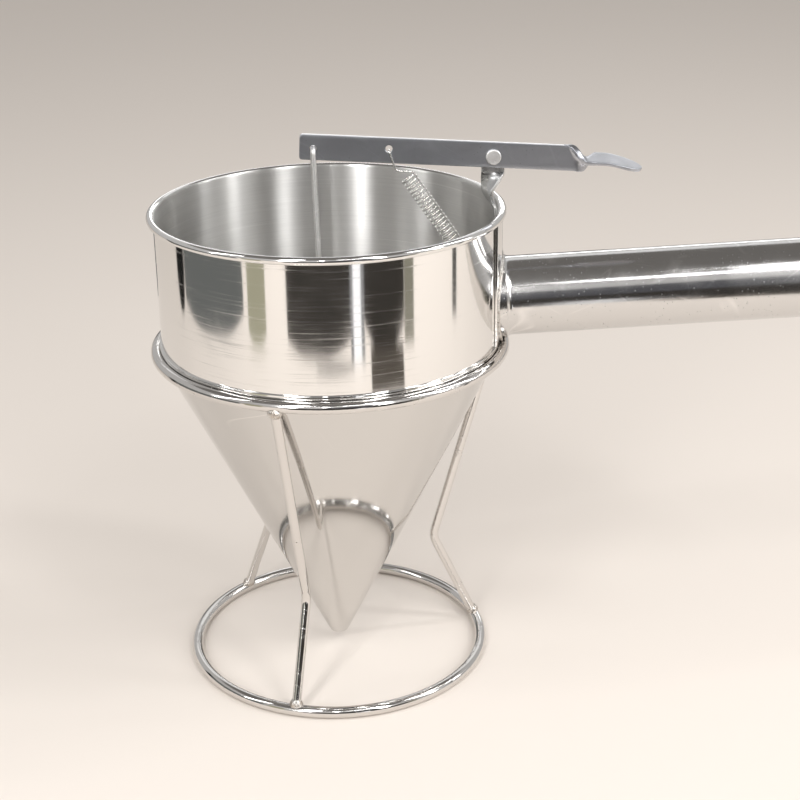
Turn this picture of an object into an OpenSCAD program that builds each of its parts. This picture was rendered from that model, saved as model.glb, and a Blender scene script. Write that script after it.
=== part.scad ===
// Hand-held batter dispenser: a sheet-metal funnel with a thumb lever that
// lifts a stopper rod off the outlet, standing in a wire stand.
// Origin: on the funnel's axis, at the height the base ring stands on.
// +X along the handle, +Z up.

/* [Funnel] */
// Outside diameter of the upright wall
bowl_d = 144.4; // [120:0.2:170]
// Thickness of the sheet of the bowl and the cone
sheet = 0.6; // [0.4:0.1:1.2]
// Height of the wall, from its hem to the middle of the rolled rim
band_h = 57.1; // [45:0.1:75]
// Diameter of the rolled rim's bead
bead_d = 3.2; // [2.6:0.1:4.2]
// How far round the rim's curl is rolled, in degrees
curl_turn = 298; // [240:1:298]
// How far the folded hem stands out from the wall
hem_t = 0.8; // [0.6:0.1:1.2]
// Height of the folded hem
hem_h = 2.1; // [1.6:0.1:3]
// Height of the cone, from the outlet's lip to its upright flange
cone_h = 138; // [100:0.5:170]
// Height of the cone's upright flange
flange_h = 8.4; // [6:0.1:12]
// How far the flange reaches up inside the wall
flange_lap = 2.5; // [2:0.1:4]
// Radius of the bend between flange and cone
flange_bend = 4; // [2:0.5:8]
// Bore of the outlet
outlet_d = 7; // [5:0.5:10]
// Height of the outlet's rounded lip
lip_h = 2; // [1.5:0.1:3]
// Height of the outlet above the table
outlet_clear = 5.5; // [3:0.5:20]

/* [Stand] */
// Wire of the two rings
ring_wire = 5; // [4:0.1:6]
// Wire of the legs
leg_wire = 4; // [3:0.1:4.6]
// Radial room between the top ring and the cone's flange
ring_slip = 0.35; // [0.2:0.05:0.6]
// Centreline diameter of the base ring
base_ring_d = 131.2; // [115:0.2:160]
// Distance of the legs' knees from the axis
knee_r = 45.5; // [41:0.5:55]
// Height of the legs' knees
knee_z = 47; // [35:1:60]
// Bend radius of the knees, on the wire's centreline
knee_bend = 10; // [6:1:16]
// Direction of the first leg, from the handle
stand_turn = 15.5; // [0:0.5:30]
// How far the legs' heads stand out from the top ring's middle
leg_out = 0.9; // [0.8:0.1:1.2]
// How far the legs' heads stop below the top ring's middle
leg_stop = 1.2; // [0.8:0.1:1.6]
// Diameter of the weld beads on the rings
stand_weld_d = 5.4; // [5:0.1:5.8]
// How far the weld beads stand out past the legs' middles
weld_out = 0.3; // [0.2:0.1:0.6]

/* [Handle] */
// Outside diameter of the tube
handle_d = 33.7; // [26:0.1:36]
// Wall of the tube
handle_wall = 1.2; // [0.8:0.1:2]
// Length of the tube, from the funnel's wall
handle_len = 150; // [110:1:180]
// Angle at which the handle rises, in degrees
handle_rise = 3.1; // [0:0.1:6]
// Room between the tube and the top ring
handle_gap = 0.75; // [0.6:0.05:1.5]
// Height of the domed end of the handle
dome_h = 4; // [2:0.5:8]
// Height of the end cap's straight rim
cap_rim = 1; // [0.5:0.1:3]
// Depth of the end cap inside the tube
cap_depth = 8; // [5:1:14]
// Thickness of the plate that stiffens the wall behind the handle
plate_t = 1.1; // [0.8:0.1:1.8]
// How far the plate reaches past the tube, on each side
plate_margin = 3.3; // [2.5:0.1:8]
// How far the tube's root is flared out
root_flare = 1.2; // [0.6:0.1:2]
// Radius of the flare
root_bend = 3; // [2.5:0.5:6]
// Straight lip between the flare and the plate, where it is shortest
root_lip = 0.4; // [0.2:0.1:1]
// Width of the weld bead round the flare, on the plate
handle_weld_w = 1.4; // [0.8:0.1:2]
// Height of the weld bead, off the plate
handle_weld_h = 0.9; // [0.5:0.1:1.6]

/* [Trigger lever] */
// Thickness of the lever's strip
lever_t = 2; // [1.5:0.1:3]
// Width of the lever's strip
lever_w = 10.6; // [9:0.1:14]
// Angle at which the lever falls towards its pad, in degrees
lever_slope = 3.1; // [0:0.1:6]
// How far the strip's middle lies above the pivot
lever_lift = 0.8; // [0:0.1:1.5]
// Length of the lever from the pivot to its tail
lever_tail = 79.6; // [76:0.1:90]
// Distance from the pivot to the hole of the stopper rod
rod_arm = 74; // [62:0.5:75]
// Distance from the pivot to the hole of the spring
spring_arm = 42.9; // [36:0.1:48]
// How far the rod's hole lies above the pivot's line
rod_hole_up = 0.2; // [0:0.1:1]
// How far the spring's hole lies above the pivot's line
spring_hole_up = 1.5; // [0:0.1:2]
// Diameter of the spring's holes
spring_hole_d = 3; // [2.6:0.1:3.6]
// Distance from the pivot to where the strip begins to twist
twist_at = 31; // [26:0.5:34]
// Length of the twist
twist_len = 9; // [7:0.5:12]
// Angle of the twist, in degrees
pad_twist = 85; // [70:1:90]
// Distance from the pivot to the tip of the thumb pad
pad_reach = 61.2; // [58:0.1:75]
// Width of the thumb pad
pad_w = 13; // [11:0.1:16]
// Angle at which the pad droops, in degrees
pad_droop = 13.5; // [0:0.5:20]
// How far the drooping end starts from the pad's tip
droop_len = 13.2; // [8:0.1:16]
// Half the length over which the pad bends down
droop_soft = 3; // [2:0.5:5]
// Radius of the corners at the lever's tail
tail_corner = 1.2; // [0.5:0.1:3]

/* [Pivot bracket] */
// Thickness of the bracket's strip
bracket_t = 1.5; // [1.2:0.1:2]
// Width of the bracket's strip
bracket_w = 9.6; // [9:0.1:12]
// Height of the pivot above the middle of the rim
pivot_rise = 22.1; // [21:0.1:30]
// Distance of the pivot from the inside of the wall
pivot_inset = 2.5; // [2:0.1:5]
// Diameter of the pivot rivet
rivet_d = 3; // [2.5:0.1:4]
// Diameter of the rivet's head
rivet_head_d = 6.4; // [5.5:0.1:8]
// Height of the rivet's head
rivet_head_h = 1.1; // [0.8:0.1:1.6]
// Bevel round the rivet's head
rivet_bevel = 0.5; // [0.3:0.1:0.7]
// Diameter of the rivet's closed end, behind the bracket
rivet_tail_d = 5.1; // [4.5:0.1:7]
// Height of the rivet's closed end
rivet_tail_h = 0.9; // [0.6:0.1:1.4]
// Diameter of the washer
washer_d = 6.6; // [6:0.1:9]
// Thickness of the washer between lever and bracket
washer_t = 0.5; // [0.4:0.1:1]
// Distance from the pivot down to the start of the bracket's twist
ear_drop = 6.1; // [6:0.1:7]
// Distance from the pivot down to the bracket's neck
neck_drop = 14.6; // [14:0.1:17]
// How far the neck stands in from the pivot
neck_in = 2.3; // [0:0.1:3]
// Angle of the twist at the neck, in degrees
neck_twist = 70; // [50:1:80]
// Distance of the bracket's foot bend below the rim's middle
foot_drop = 3.5; // [3:0.1:6]
// Length of the bracket's foot, flat on the wall
foot_len = 23; // [18:0.5:28]
// Length of the hooked tab under the foot
tab_len = 9; // [8:0.1:12]
// Angle of the tab, in degrees
tab_angle = 40; // [30:1:55]
// Distance from the tab's end to its hole
tab_edge = 3.5; // [3:0.1:5]
// Width of the tab's end
tab_end_w = 7.7; // [6.5:0.1:9]
// Diameter of the weld spots that hold the foot
spot_d = 4; // [3:0.5:6]

/* [Stopper] */
// Diameter of the stopper rod
rod_d = 2.4; // [2:0.1:3]
// Bend radius of the rod's hook, on its centreline
rod_bend = 1.8; // [1.6:0.1:3.5]
// How far the hook reaches behind the lever
rod_tail = 3.5; // [2.5:0.1:6]
// Height of the stopper's foot above the outlet's lip
plug_foot = 3.2; // [3:0.1:5]
// Height of the stopper's seat
plug_seat = 4.5; // [3:0.1:7]
// Height of the stopper's rim above its seat
plug_land = 0.8; // [0.4:0.1:2]
// Height of the rod's end above the stopper's foot
rod_foot = 1; // [0.6:0.1:2]
// Diameter of the stopper's neck, round the rod
plug_neck_d = 5; // [4.6:0.1:6]

/* [Return spring] */
// Wire of the spring
spring_wire = 0.8; // [0.6:0.05:1]
// Outside diameter of the coil
spring_d = 6.7; // [5.5:0.1:7]
// Number of curls
spring_curls = 27; // [22:1:28]
// How far the upper hook drops from its hole, and runs along the lever
hook_drop = 9; // [8.5:0.1:11]
// Length of the lower hook, from the last curl to the tab's hole
hook_len = 8.5; // [7:0.1:12]
// Length of the hooks' tails, past what they hang on
hook_tail = 3; // [2:0.1:4]

/* [Clearances] */
// Gap between the hem and the top ring it stands on
seat_gap = 0.2; // [0.15:0.05:0.3]
// Gap between pieces that are joined by a weld or pushed together
joint_gap = 0.05; // [0.03:0.01:0.08]
// Running clearance of the rivet in the lever, on the radius
pivot_play = 0.06; // [0.04:0.01:0.1]
// Gap on each side of the washer
washer_play = 0.05; // [0.03:0.01:0.1]
// Clearance of the rod in the lever's hole, on the radius
rod_play = 0.25; // [0.15:0.05:0.4]
// Gap between the stopper's seat and the cone
plug_gap = 0.2; // [0.15:0.05:0.3]
// Gap between wires or hooks and what they hang on
hook_gap = 0.25; // [0.2:0.05:0.3]

/* [Hidden] */
$fn = 96;
LEG_NAMES = ["leg_front", "leg_right", "leg_back"];

// Colours, as they show
steel = [0.78, 0.77, 0.75];
bright_steel = [0.86, 0.85, 0.83];
dull_steel = [0.50, 0.49, 0.48];
weld_steel = [0.70, 0.68, 0.65];

// Radii of the wall, hem, flange and rings
bowl_r = bowl_d / 2;
inner_r = bowl_r - sheet;
bead_r = bead_d / 2;
hem_r = bowl_r + hem_t;
hem_round = (hem_r - inner_r) / 2;
hem_mid_r = inner_r + hem_round;
flange_r = inner_r - joint_gap;
ring_r = flange_r + ring_slip + ring_wire / 2;
base_r = base_ring_d / 2;

// Heights
outlet_z = outlet_clear;
flange_z = outlet_z + cone_h;
seat_z = flange_z + flange_h - flange_lap;
rim_z = seat_z + band_h;
seat_reach = ring_wire / 2 + hem_round + seat_gap;
ring_z = seat_z + hem_round - sqrt(pow(seat_reach, 2) - pow(ring_r - hem_mid_r, 2));

// The cone's slope, and its outside and inside radius at a height
lip_r = outlet_d / 2 + sheet;
lip_flare = lip_h / 2;
cone_run = flange_r - lip_r - lip_flare;
cone_angle = atan(cone_run / (cone_h - lip_h));
sheet_across = sheet / cos(cone_angle);
function cone_outer(z) = lip_r + lip_flare + (z - outlet_z - lip_h) * tan(cone_angle);
function cone_inner(z) = cone_outer(z) - sheet_across;

// The handle's axis, which clears the top ring
plate_r = bowl_r + plate_t + joint_gap;
handle_r = handle_d / 2;
handle_z = ring_z + ring_wire / 2 + handle_gap + handle_r / cos(handle_rise);

// The flare at the handle's root, which is cut flat above the top ring
root_r = handle_r + root_flare;
root_turn = acos(1 - root_flare / root_bend);
root_z = ring_z + ring_wire / 2 + handle_gap / 2;
root_at = (plate_r + joint_gap - bowl_r) / cos(handle_rise) + root_r * tan(handle_rise) + root_lip;
past_rim = rim_z * 1.2;

// The pivot, and the layers across it, from the bracket towards the viewer
pivot = [inner_r - pivot_inset, 0, rim_z + pivot_rise];
washer_y = -bracket_t / 2 - washer_play - washer_t;
lever_back = washer_y - washer_play;
lever_mid = lever_back - lever_t / 2;
lever_front = lever_back - lever_t;
rod_y = lever_front - hook_gap - rod_bend;

// A place on the lever, from its distance along and above the pivot's line
function on_lever(u, v) = [
    pivot[0] + u * cos(lever_slope) + v * sin(lever_slope),
    lever_mid,
    pivot[2] - u * sin(lever_slope) + v * cos(lever_slope)];
rod_hole = on_lever(-rod_arm, rod_hole_up);
spring_hole = on_lever(-spring_arm, spring_hole_up);

// The bracket's foot lies against the inside of the wall
foot_x = sqrt(pow(inner_r, 2) - pow(bracket_w / 2, 2)) - joint_gap;
foot_mid = foot_x - bracket_t / 2;
foot_top = rim_z - foot_drop;
foot_low = foot_top - foot_len;
tab_dir = [-sin(tab_angle), 0, -cos(tab_angle)];
tab_side = [cos(tab_angle), 0, -sin(tab_angle)];
tab_bend = bracket_t;
tab_start = [foot_mid - tab_bend * (1 - cos(tab_angle)), 0, foot_low - tab_bend * sin(tab_angle)];
tab_hole = tab_start + (tab_len - tab_edge) * tab_dir;

// A bent wire is this much thicker where its bend begins and ends
bend_swell = 0.02;

// Plain vector and outline helpers
function unit(v) = v / norm(v);
function soft(s) = s <= 0 ? 0 : s >= 1 ? 1 : s * s * (3 - 2 * s);
function arc(c, r, from, to, steps) = [
    for (i = [0 : steps]) c + r * [cos(from + (to - from) * i / steps), sin(from + (to - from) * i / steps)]];

// Closed skin over rings of equal size, each listed the same way round
module skin(rings) {
    m = len(rings[0]);
    n = len(rings);
    sides = [for (i = [0 : n - 2], j = [0 : m - 1])
        let (a = i * m + j, b = i * m + (j + 1) % m) each [[a, b, a + m], [b, b + m, a + m]]];
    first = [for (j = [1 : m - 2]) [0, j + 1, j]];
    last = [for (j = [1 : m - 2]) [(n - 1) * m, (n - 1) * m + j, (n - 1) * m + j + 1]];
    polyhedron(points = [for (r = rings) each r], faces = concat(sides, first, last));
}

// Straight wire from a to b
module straight_wire(a, b, d) {
    w = unit(b - a);
    u = unit(cross(abs(w[1]) > 0.9 ? [1, 0, 0] : [0, 1, 0], w));
    v = cross(w, u);
    multmatrix([[u[0], v[0], w[0], a[0]], [u[1], v[1], w[1], a[1]], [u[2], v[2], w[2], a[2]], [0, 0, 0, 1]])
        cylinder(h = norm(b - a), d = d);
}

// Wire from a to b, bent once at k
module bent_wire(a, k, b, bend, d) {
    to_a = unit(a - k);
    to_b = unit(b - k);
    opening = acos(to_a * to_b);
    tangent = bend / tan(opening / 2);
    c = k + unit(to_a + to_b) * bend / sin(opening / 2);
    e1 = unit(k + to_a * tangent - c);
    e2 = unit(k + to_b * tangent - c);
    n = unit(cross(e1, e2));
    f = cross(n, e1);
    straight_wire(a, k + to_a * tangent, d);
    multmatrix([[e1[0], f[0], n[0], c[0]], [e1[1], f[1], n[1], c[1]],
                [e1[2], f[2], n[2], c[2]], [0, 0, 0, 1]])
        rotate_extrude(angle = 180 - opening) translate([bend, 0]) circle(d = d);
    straight_wire(k + to_b * tangent, b, d);
    for (p = [k + to_a * tangent, k + to_b * tangent]) translate(p) sphere(d = d + bend_swell);
}

module wire_ring(r, z, d) {
    translate([0, 0, z]) rotate_extrude() translate([r, 0]) circle(d = d);
}

// ---- Stand ----

module top_ring() {
    color(bright_steel) wire_ring(ring_r, ring_z, ring_wire);
}

module base_ring() {
    color(bright_steel) wire_ring(base_r, ring_wire / 2, ring_wire);
}

// The wire of one leg, in the XZ plane, up to the middles of both rings
leg_head = [ring_r + leg_out, 0, ring_z - leg_stop];
leg_knee = [knee_r, 0, knee_z];
leg_foot = [base_r, 0, ring_wire / 2];

module leg_line(d) {
    bent_wire(leg_head, leg_knee, leg_foot, knee_bend, d);
}

module leg(i) {
    color(bright_steel) rotate([0, 0, stand_turn + 120 * i]) difference() {
        leg_line(leg_wire);
        wire_ring(ring_r, ring_z, ring_wire + 2 * joint_gap);
        wire_ring(base_r, ring_wire / 2, ring_wire + 2 * joint_gap);
    }
}

// Weld beads where the legs meet a ring
module leg_welds(end, r, z) {
    bead_at = end + unit(leg_knee - end) * (stand_weld_d / 2 - (z - end[2])) + [weld_out, 0, 0];
    color(weld_steel) for (i = [0 : 2]) rotate([0, 0, stand_turn + 120 * i]) difference() {
        translate(bead_at) sphere(d = stand_weld_d);
        straight_wire(end, leg_knee, leg_wire + 2 * joint_gap);
        wire_ring(r, z, ring_wire + 2 * joint_gap);
    }
}

module ring_welds() {
    leg_welds(leg_head, ring_r, ring_z);
}

module foot_welds() {
    leg_welds(leg_foot, base_r, ring_wire / 2);
}

// ---- Funnel ----

// Outline of the wall: up its inside, round the rim's open curl, back down
// its outside and round the folded hem
module bowl_band() {
    curl_mid = [inner_r + bead_r, rim_z];
    color(steel) rotate_extrude() polygon(concat(
        arc(curl_mid, bead_r, 180, 180 - curl_turn, 32),
        arc(curl_mid, bead_r - sheet, 180 - curl_turn, 180, 32),
        [[bowl_r, seat_z + hem_h], [hem_r, seat_z + hem_h]],
        arc([hem_mid_r, seat_z + hem_round], hem_round, 0, -180, 10)));
}

// One sheet surface of the cone, as an outline from the lip to the flange's top
function cone_line(inset) =
    let (across = inset / cos(cone_angle),
         low = [lip_r + lip_flare - across, outlet_z + lip_h],
         back = flange_bend * tan(cone_angle / 2))
    concat(
        [[lip_r - inset, outlet_z]],
        [low],
        arc([flange_r - flange_bend, flange_z + back], flange_bend - inset, -cone_angle, 0, 6),
        [[flange_r - inset, seat_z + flange_lap]]);

module cone() {
    outside = cone_line(0);
    inside = cone_line(sheet);
    color(bright_steel) rotate_extrude()
        polygon(concat(outside, [for (i = [len(inside) - 1 : -1 : 0]) inside[i]]));
}

// ---- Handle ----

// Moves what is drawn along +Z from the origin onto the handle's axis
module on_handle() {
    translate([bowl_r, 0, handle_z]) rotate([0, 90 - handle_rise, 0]) children();
}

module handle_plate() {
    half = asin((handle_r + plate_margin) / bowl_r);
    low = seat_z + hem_h + seat_gap;
    high = rim_z - bead_r - seat_gap;
    color(steel) rotate([0, 0, -half]) translate([0, 0, low])
        rotate_extrude(angle = 2 * half) translate([bowl_r + joint_gap, 0]) square([plate_t, high - low]);
}

// Keeps what is round the handle's root off the top ring
module over_ring() {
    intersection() {
        children();
        translate([0, -bowl_d / 2, root_z]) cube([bowl_d / 2 + handle_len, bowl_d, past_rim]);
    }
}

// Everything inside the outer face of the plate, up past the rim
module plate_core() {
    translate([0, 0, -1]) cylinder(h = past_rim + 1, r = plate_r + joint_gap);
}

// Tube, flared at its root and cut to the plate's curve
module handle_tube() {
    flare = arc([root_r + root_bend - root_flare, root_at + root_bend * sin(root_turn)],
                root_bend, 180 + root_turn, 180, 8);
    color(steel) over_ring() difference() {
        on_handle() rotate_extrude() polygon(concat(
            [[handle_r - handle_wall, -handle_r], [root_r, -handle_r]],
            flare,
            [[handle_r, handle_len], [handle_r - handle_wall, handle_len]]));
        plate_core();
    }
}

module handle_weld() {
    color(weld_steel) over_ring() intersection() {
        on_handle() translate([0, 0, -handle_r]) difference() {
            cylinder(h = 2 * handle_r, r = root_r + joint_gap + handle_weld_w);
            translate([0, 0, -1]) cylinder(h = 2 * handle_r + 2, r = root_r + joint_gap);
        }
        difference() {
            cylinder(h = past_rim, r = plate_r + joint_gap + handle_weld_h);
            plate_core();
        }
    }
}

// Domed cap, with a skirt inside the tube
module handle_end_cap() {
    skirt_r = handle_r - handle_wall - joint_gap;
    dome_r = (pow(handle_r, 2) + pow(dome_h, 2)) / (2 * dome_h);
    edge = asin(handle_r / dome_r);
    dome = arc([0, cap_rim + dome_h - dome_r], dome_r, 90 - edge, 90, 8);
    color(steel) on_handle() translate([0, 0, handle_len]) rotate_extrude() polygon(concat(
        [[0, joint_gap], [skirt_r - handle_wall, joint_gap], [skirt_r - handle_wall, -cap_depth],
         [skirt_r, -cap_depth], [skirt_r, joint_gap], [handle_r, joint_gap]],
        [for (i = [0 : 7]) dome[i]],
        [[0, cap_rim + dome_h]]));
}

// ---- Pivot bracket ----

// Section of a strip whose middle runs in the XZ plane. A station is
// [x, z, twist out of that plane, width]; slope is the middle line's direction.
function strip_section(station, slope, t) =
    let (c = [station[0], 0, station[1]], turn = station[2], half = station[3] / 2,
         normal = [-sin(slope), 0, cos(slope)], across = [0, -1, 0],
         wide = half * (cos(turn) * normal + sin(turn) * across),
         thick = t / 2 * (cos(turn) * across - sin(turn) * normal))
    [c + wide + thick, c - wide + thick, c - wide - thick, c + wide - thick];

strip_steps = 30;
module strip(stations, t) {
    last = len(stations) - 1;
    skin([for (i = [0 : last])
        let (before = stations[max(i - 1, 0)], after = stations[min(i + 1, last)],
             slope = atan2(after[1] - before[1], after[0] - before[0]))
        strip_section(stations[i], slope, t)]);
}

// Middle line and twist of the bracket between the ear and the foot
ear_z = pivot[2] - ear_drop;
neck_z = pivot[2] - neck_drop;
neck_x = pivot[0] - neck_in;
function neck_station(z) =
    let (upper = soft((ear_z - z) / (ear_z - neck_z)), lower = soft((neck_z - z) / (neck_z - foot_top)))
    z > neck_z
    ? [pivot[0] + (neck_x - pivot[0]) * upper, z, neck_twist * upper, bracket_w]
    : [neck_x + (foot_mid - neck_x) * lower, z, neck_twist + (90 - neck_twist) * lower, bracket_w];

// The strip from its round ear, down the twist and the foot, to the bent tab
bracket_stations = concat(
    [for (a = [10, 22, 36, 52, 70, 90])
        [pivot[0], pivot[2] + bracket_w / 2 * cos(a), 0, bracket_w * sin(a)]],
    [for (i = [0 : strip_steps]) neck_station(ear_z + (foot_top - ear_z) * i / strip_steps)],
    [for (p = arc([foot_mid - tab_bend, foot_low], tab_bend, 0, -tab_angle, 5)) [p[0], p[1], 90, bracket_w]],
    [for (s = [0, 1]) let (p = tab_start + (1 + s) / 2 * tab_len * tab_dir)
        [p[0], p[2], 90, bracket_w + s * (tab_end_w - bracket_w)]]);

module pivot_bracket() {
    color(dull_steel) difference() {
        strip(bracket_stations, bracket_t);
        cross_hole(pivot, rivet_d + joint_gap);
        translate(tab_hole) rotate([0, 90 + tab_angle, 0])
            cylinder(h = 3 * bracket_t, d = spring_hole_d, center = true);
    }
}

// Two weld spots between the bracket's foot and the wall, at these shares of its length
spot_shares = [0.3, 0.7];
module bracket_welds() {
    spot_out = sqrt(pow(inner_r, 2) - pow(spot_d / 2, 2)) - joint_gap / 2;
    color(weld_steel) for (share = spot_shares)
        translate([foot_x + joint_gap / 2, 0, foot_low + share * foot_len]) rotate([0, 90, 0])
            cylinder(h = spot_out - foot_x - joint_gap / 2, d = spot_d);
}

module pivot_rivet() {
    tail_y = bracket_t / 2 + joint_gap;
    head_y = lever_front - washer_play;
    color(bright_steel) translate([pivot[0], 0, pivot[2]]) rotate([90, 0, 0]) {
        translate([0, 0, -tail_y]) cylinder(h = tail_y - head_y, d = rivet_d);
        translate([0, 0, -head_y]) rotate_extrude()
            polygon([[0, 0], [rivet_head_d / 2, 0], [rivet_head_d / 2, rivet_head_h - rivet_bevel],
                     [rivet_head_d / 2 - rivet_bevel, rivet_head_h], [0, rivet_head_h]]);
        translate([0, 0, -tail_y - rivet_tail_h]) cylinder(h = rivet_tail_h, d = rivet_tail_d);
    }
}

module pivot_washer() {
    color(steel) translate([pivot[0], washer_y, pivot[2]]) rotate([-90, 0, 0]) difference() {
        cylinder(h = washer_t, d = washer_d);
        translate([0, 0, -1]) cylinder(h = washer_t + 2, d = rivet_d + 2 * pivot_play);
    }
}

// ---- Trigger lever ----

// Height of the lever's middle line at a distance u from the pivot
droop_at = pad_reach - droop_len;
function lever_line(u) = lever_lift - tan(pad_droop) * (
    u < droop_at - droop_soft ? 0 :
    u < droop_at + droop_soft ? pow(u - droop_at + droop_soft, 2) / (4 * droop_soft) : u - droop_at);
tip_w = 0.8;
function lever_wide(u) =
    let (s = soft((u - twist_at) / twist_len), full = lever_w + (pad_w - lever_w) * s,
         r = pad_w / 2, past = u - (pad_reach - r))
    past <= 0 ? full : min(full, 2 * sqrt(max(r * r - past * past, pow(tip_w / 2, 2))));

// The strip's round-cornered tail, its straight run, and its twisted pad,
// whose stations crowd towards the tip
tip_crowd = 1.4;
lever_stations = concat(
    [for (a = [0, 30, 60, 90])
        [-lever_tail + tail_corner * (1 - cos(a)), lever_lift, 0, lever_w - 2 * tail_corner * (1 - sin(a))]],
    [for (i = [0 : strip_steps])
        let (share = i / strip_steps, u = twist_at + (pad_reach - twist_at) * (1 - pow(1 - share, tip_crowd)))
        [u, lever_line(u), pad_twist * soft((u - twist_at) / twist_len), lever_wide(u)]]);

module lever() {
    color(dull_steel) difference() {
        translate([pivot[0], lever_mid, pivot[2]]) rotate([0, lever_slope, 0])
            strip(lever_stations, lever_t);
        cross_hole([pivot[0], lever_mid, pivot[2]], rivet_d + 2 * pivot_play);
        cross_hole(rod_hole, rod_d + 2 * rod_play);
        cross_hole(spring_hole, spring_hole_d);
    }
}

module cross_hole(at, d) {
    translate(at) rotate([90, 0, 0]) cylinder(h = 2 * lever_t, d = d, center = true);
}

// ---- Stopper ----

plug_low = outlet_z + plug_foot;
rod_corner = [rod_hole[0], rod_y, rod_hole[2]];
rod_end = [0, 0, plug_low + rod_foot];

module rod_line(d) {
    bent_wire([rod_hole[0], lever_back + rod_tail, rod_hole[2]], rod_corner, rod_end, rod_bend, d);
}

module stopper_rod() {
    color(steel) rod_line(rod_d);
}

// Turned stopper: its seat has the cone's own slope
module stopper_plug() {
    seat_top = plug_low + plug_seat;
    neck_r = plug_neck_d / 2;
    foot_r = cone_inner(plug_low) - plug_gap / cos(cone_angle);
    wide_r = cone_inner(seat_top) - plug_gap / cos(cone_angle);
    hollow_r = wide_r - neck_r;
    top_z = seat_top + plug_land + hollow_r;
    color(steel) difference() {
        rotate_extrude() polygon(concat(
            [[0, plug_low], [foot_r, plug_low], [wide_r, seat_top]],
            arc([wide_r, top_z], hollow_r, 270, 180, 8),
            [[0, top_z]]));
        straight_wire(rod_end, rod_corner, rod_d + 2 * joint_gap);
    }
}

// ---- Return spring ----

coil_r = (spring_d - spring_wire) / 2;
coil_start = spring_hole + [hook_drop, 0, -hook_drop];
coil_axis = unit(tab_hole - coil_start);
coil_len = norm(tab_hole - coil_start) - hook_len;
coil_side = unit(cross(coil_axis, [0, -1, 0]));
coil_front = cross(coil_side, coil_axis);
rings_a_curl = 8;
ring_sides = 6;
wire_front = lever_front - hook_gap - spring_wire / 2;
wire_back = lever_back + hook_gap + spring_wire / 2;
hang_z = spring_hole[2] - spring_hole_d / 2 + spring_wire / 2 + hook_gap;

function coil_point(turn) =
    coil_start + coil_axis * (coil_len * turn / spring_curls)
    + coil_r * (cos(360 * turn) * coil_front + sin(360 * turn) * coil_side);
coil_points = [for (i = [0 : spring_curls * rings_a_curl]) coil_point(i / rings_a_curl)];

// Corners of the hooks, from the tail behind the lever to the coil, and on to the tab.
// A knee is at this share of its hook, and a lead takes the wire onto the coil
top_knee = 0.25;
top_lead = [2.2, -0.3, 0.4];
low_knee = 0.45;
low_lead = 1.6;
tab_rest = 0.6;
tab_through = hook_gap + (bracket_t + spring_wire) / 2;
top_hook = [
    [spring_hole[0], wire_back, hang_z - hook_tail],
    [spring_hole[0], wire_back, hang_z],
    [spring_hole[0], wire_front, hang_z],
    [spring_hole[0] + hook_drop * top_knee, wire_front, coil_start[2] - top_lead[1]],
    coil_points[0] - top_lead];
low_hook = [
    coil_points[len(coil_points) - 1] + coil_axis * low_lead,
    coil_start + coil_axis * (coil_len + hook_len * low_knee),
    tab_hole - tab_side * tab_through - tab_dir * tab_rest,
    tab_hole + tab_side * tab_through - tab_dir * tab_rest,
    tab_hole + tab_side * tab_through - tab_dir * (tab_rest + hook_tail)];

// Corners cut to curves that start a distance r from each corner
function eased(p, r, steps) = [
    p[0],
    for (i = [1 : len(p) - 2])
        let (a = p[i] + unit(p[i - 1] - p[i]) * min(r, norm(p[i - 1] - p[i]) / 2.1),
             b = p[i] + unit(p[i + 1] - p[i]) * min(r, norm(p[i + 1] - p[i]) / 2.1))
        for (k = [0 : steps]) let (s = k / steps)
            a * (1 - s) * (1 - s) + p[i] * 2 * s * (1 - s) + b * s * s,
    p[len(p) - 1]];
hook_bend = 0.9;
spring_path = concat(eased(top_hook, hook_bend, 4), coil_points, eased(low_hook, hook_bend, 4));

function path_way(p, i) = unit(p[min(i + 1, len(p) - 1)] - p[max(i - 1, 0)]);
function path_sides(p) = [
    for (i = 0, n = unit(cross(path_way(p, 0), [1, 0, 0])); i < len(p);
         i = i + 1, n = i < len(p) ? unit(n - (n * path_way(p, i)) * path_way(p, i)) : n) n];

// Least gap of the wire to itself, between points more than half a curl apart
function least_gap(p) = min([
    for (i = [0 : len(p) - 1]) for (j = [i + rings_a_curl / 2 : 1 : min(i + 3 * rings_a_curl, len(p) - 1)])
        norm(p[i] - p[j])]) - spring_wire;

module return_spring() {
    sides = path_sides(spring_path);
    echo(spring_points = len(spring_path), spring_least_gap = least_gap(spring_path));
    color(steel) skin([for (i = [0 : len(spring_path) - 1])
        let (way = path_way(spring_path, i), n = sides[i], b = cross(way, n))
        [for (k = [0 : ring_sides - 1])
            spring_path[i] + spring_wire / 2 * (cos(60 * k) * n + sin(60 * k) * b)]]);
}

// ---- Drawing ----

top_ring();
base_ring();
for (i = [0 : 2]) leg(i);
ring_welds();
foot_welds();
bowl_band();
cone();
handle_plate();
handle_tube();
handle_weld();
handle_end_cap();
pivot_bracket();
bracket_welds();
pivot_rivet();
pivot_washer();
lever();
stopper_rod();
stopper_plug();
return_spring();
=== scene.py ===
"""Looks of a hand-held batter dispenser: a spun funnel in its wire stand, with a
thumb lever, a stopper rod and a return spring. Sizes are in millimetres, and each
mesh is scaled to metres when it is done."""

import math

import bmesh
import bpy
from mathutils import Matrix, Vector, noise


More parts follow.
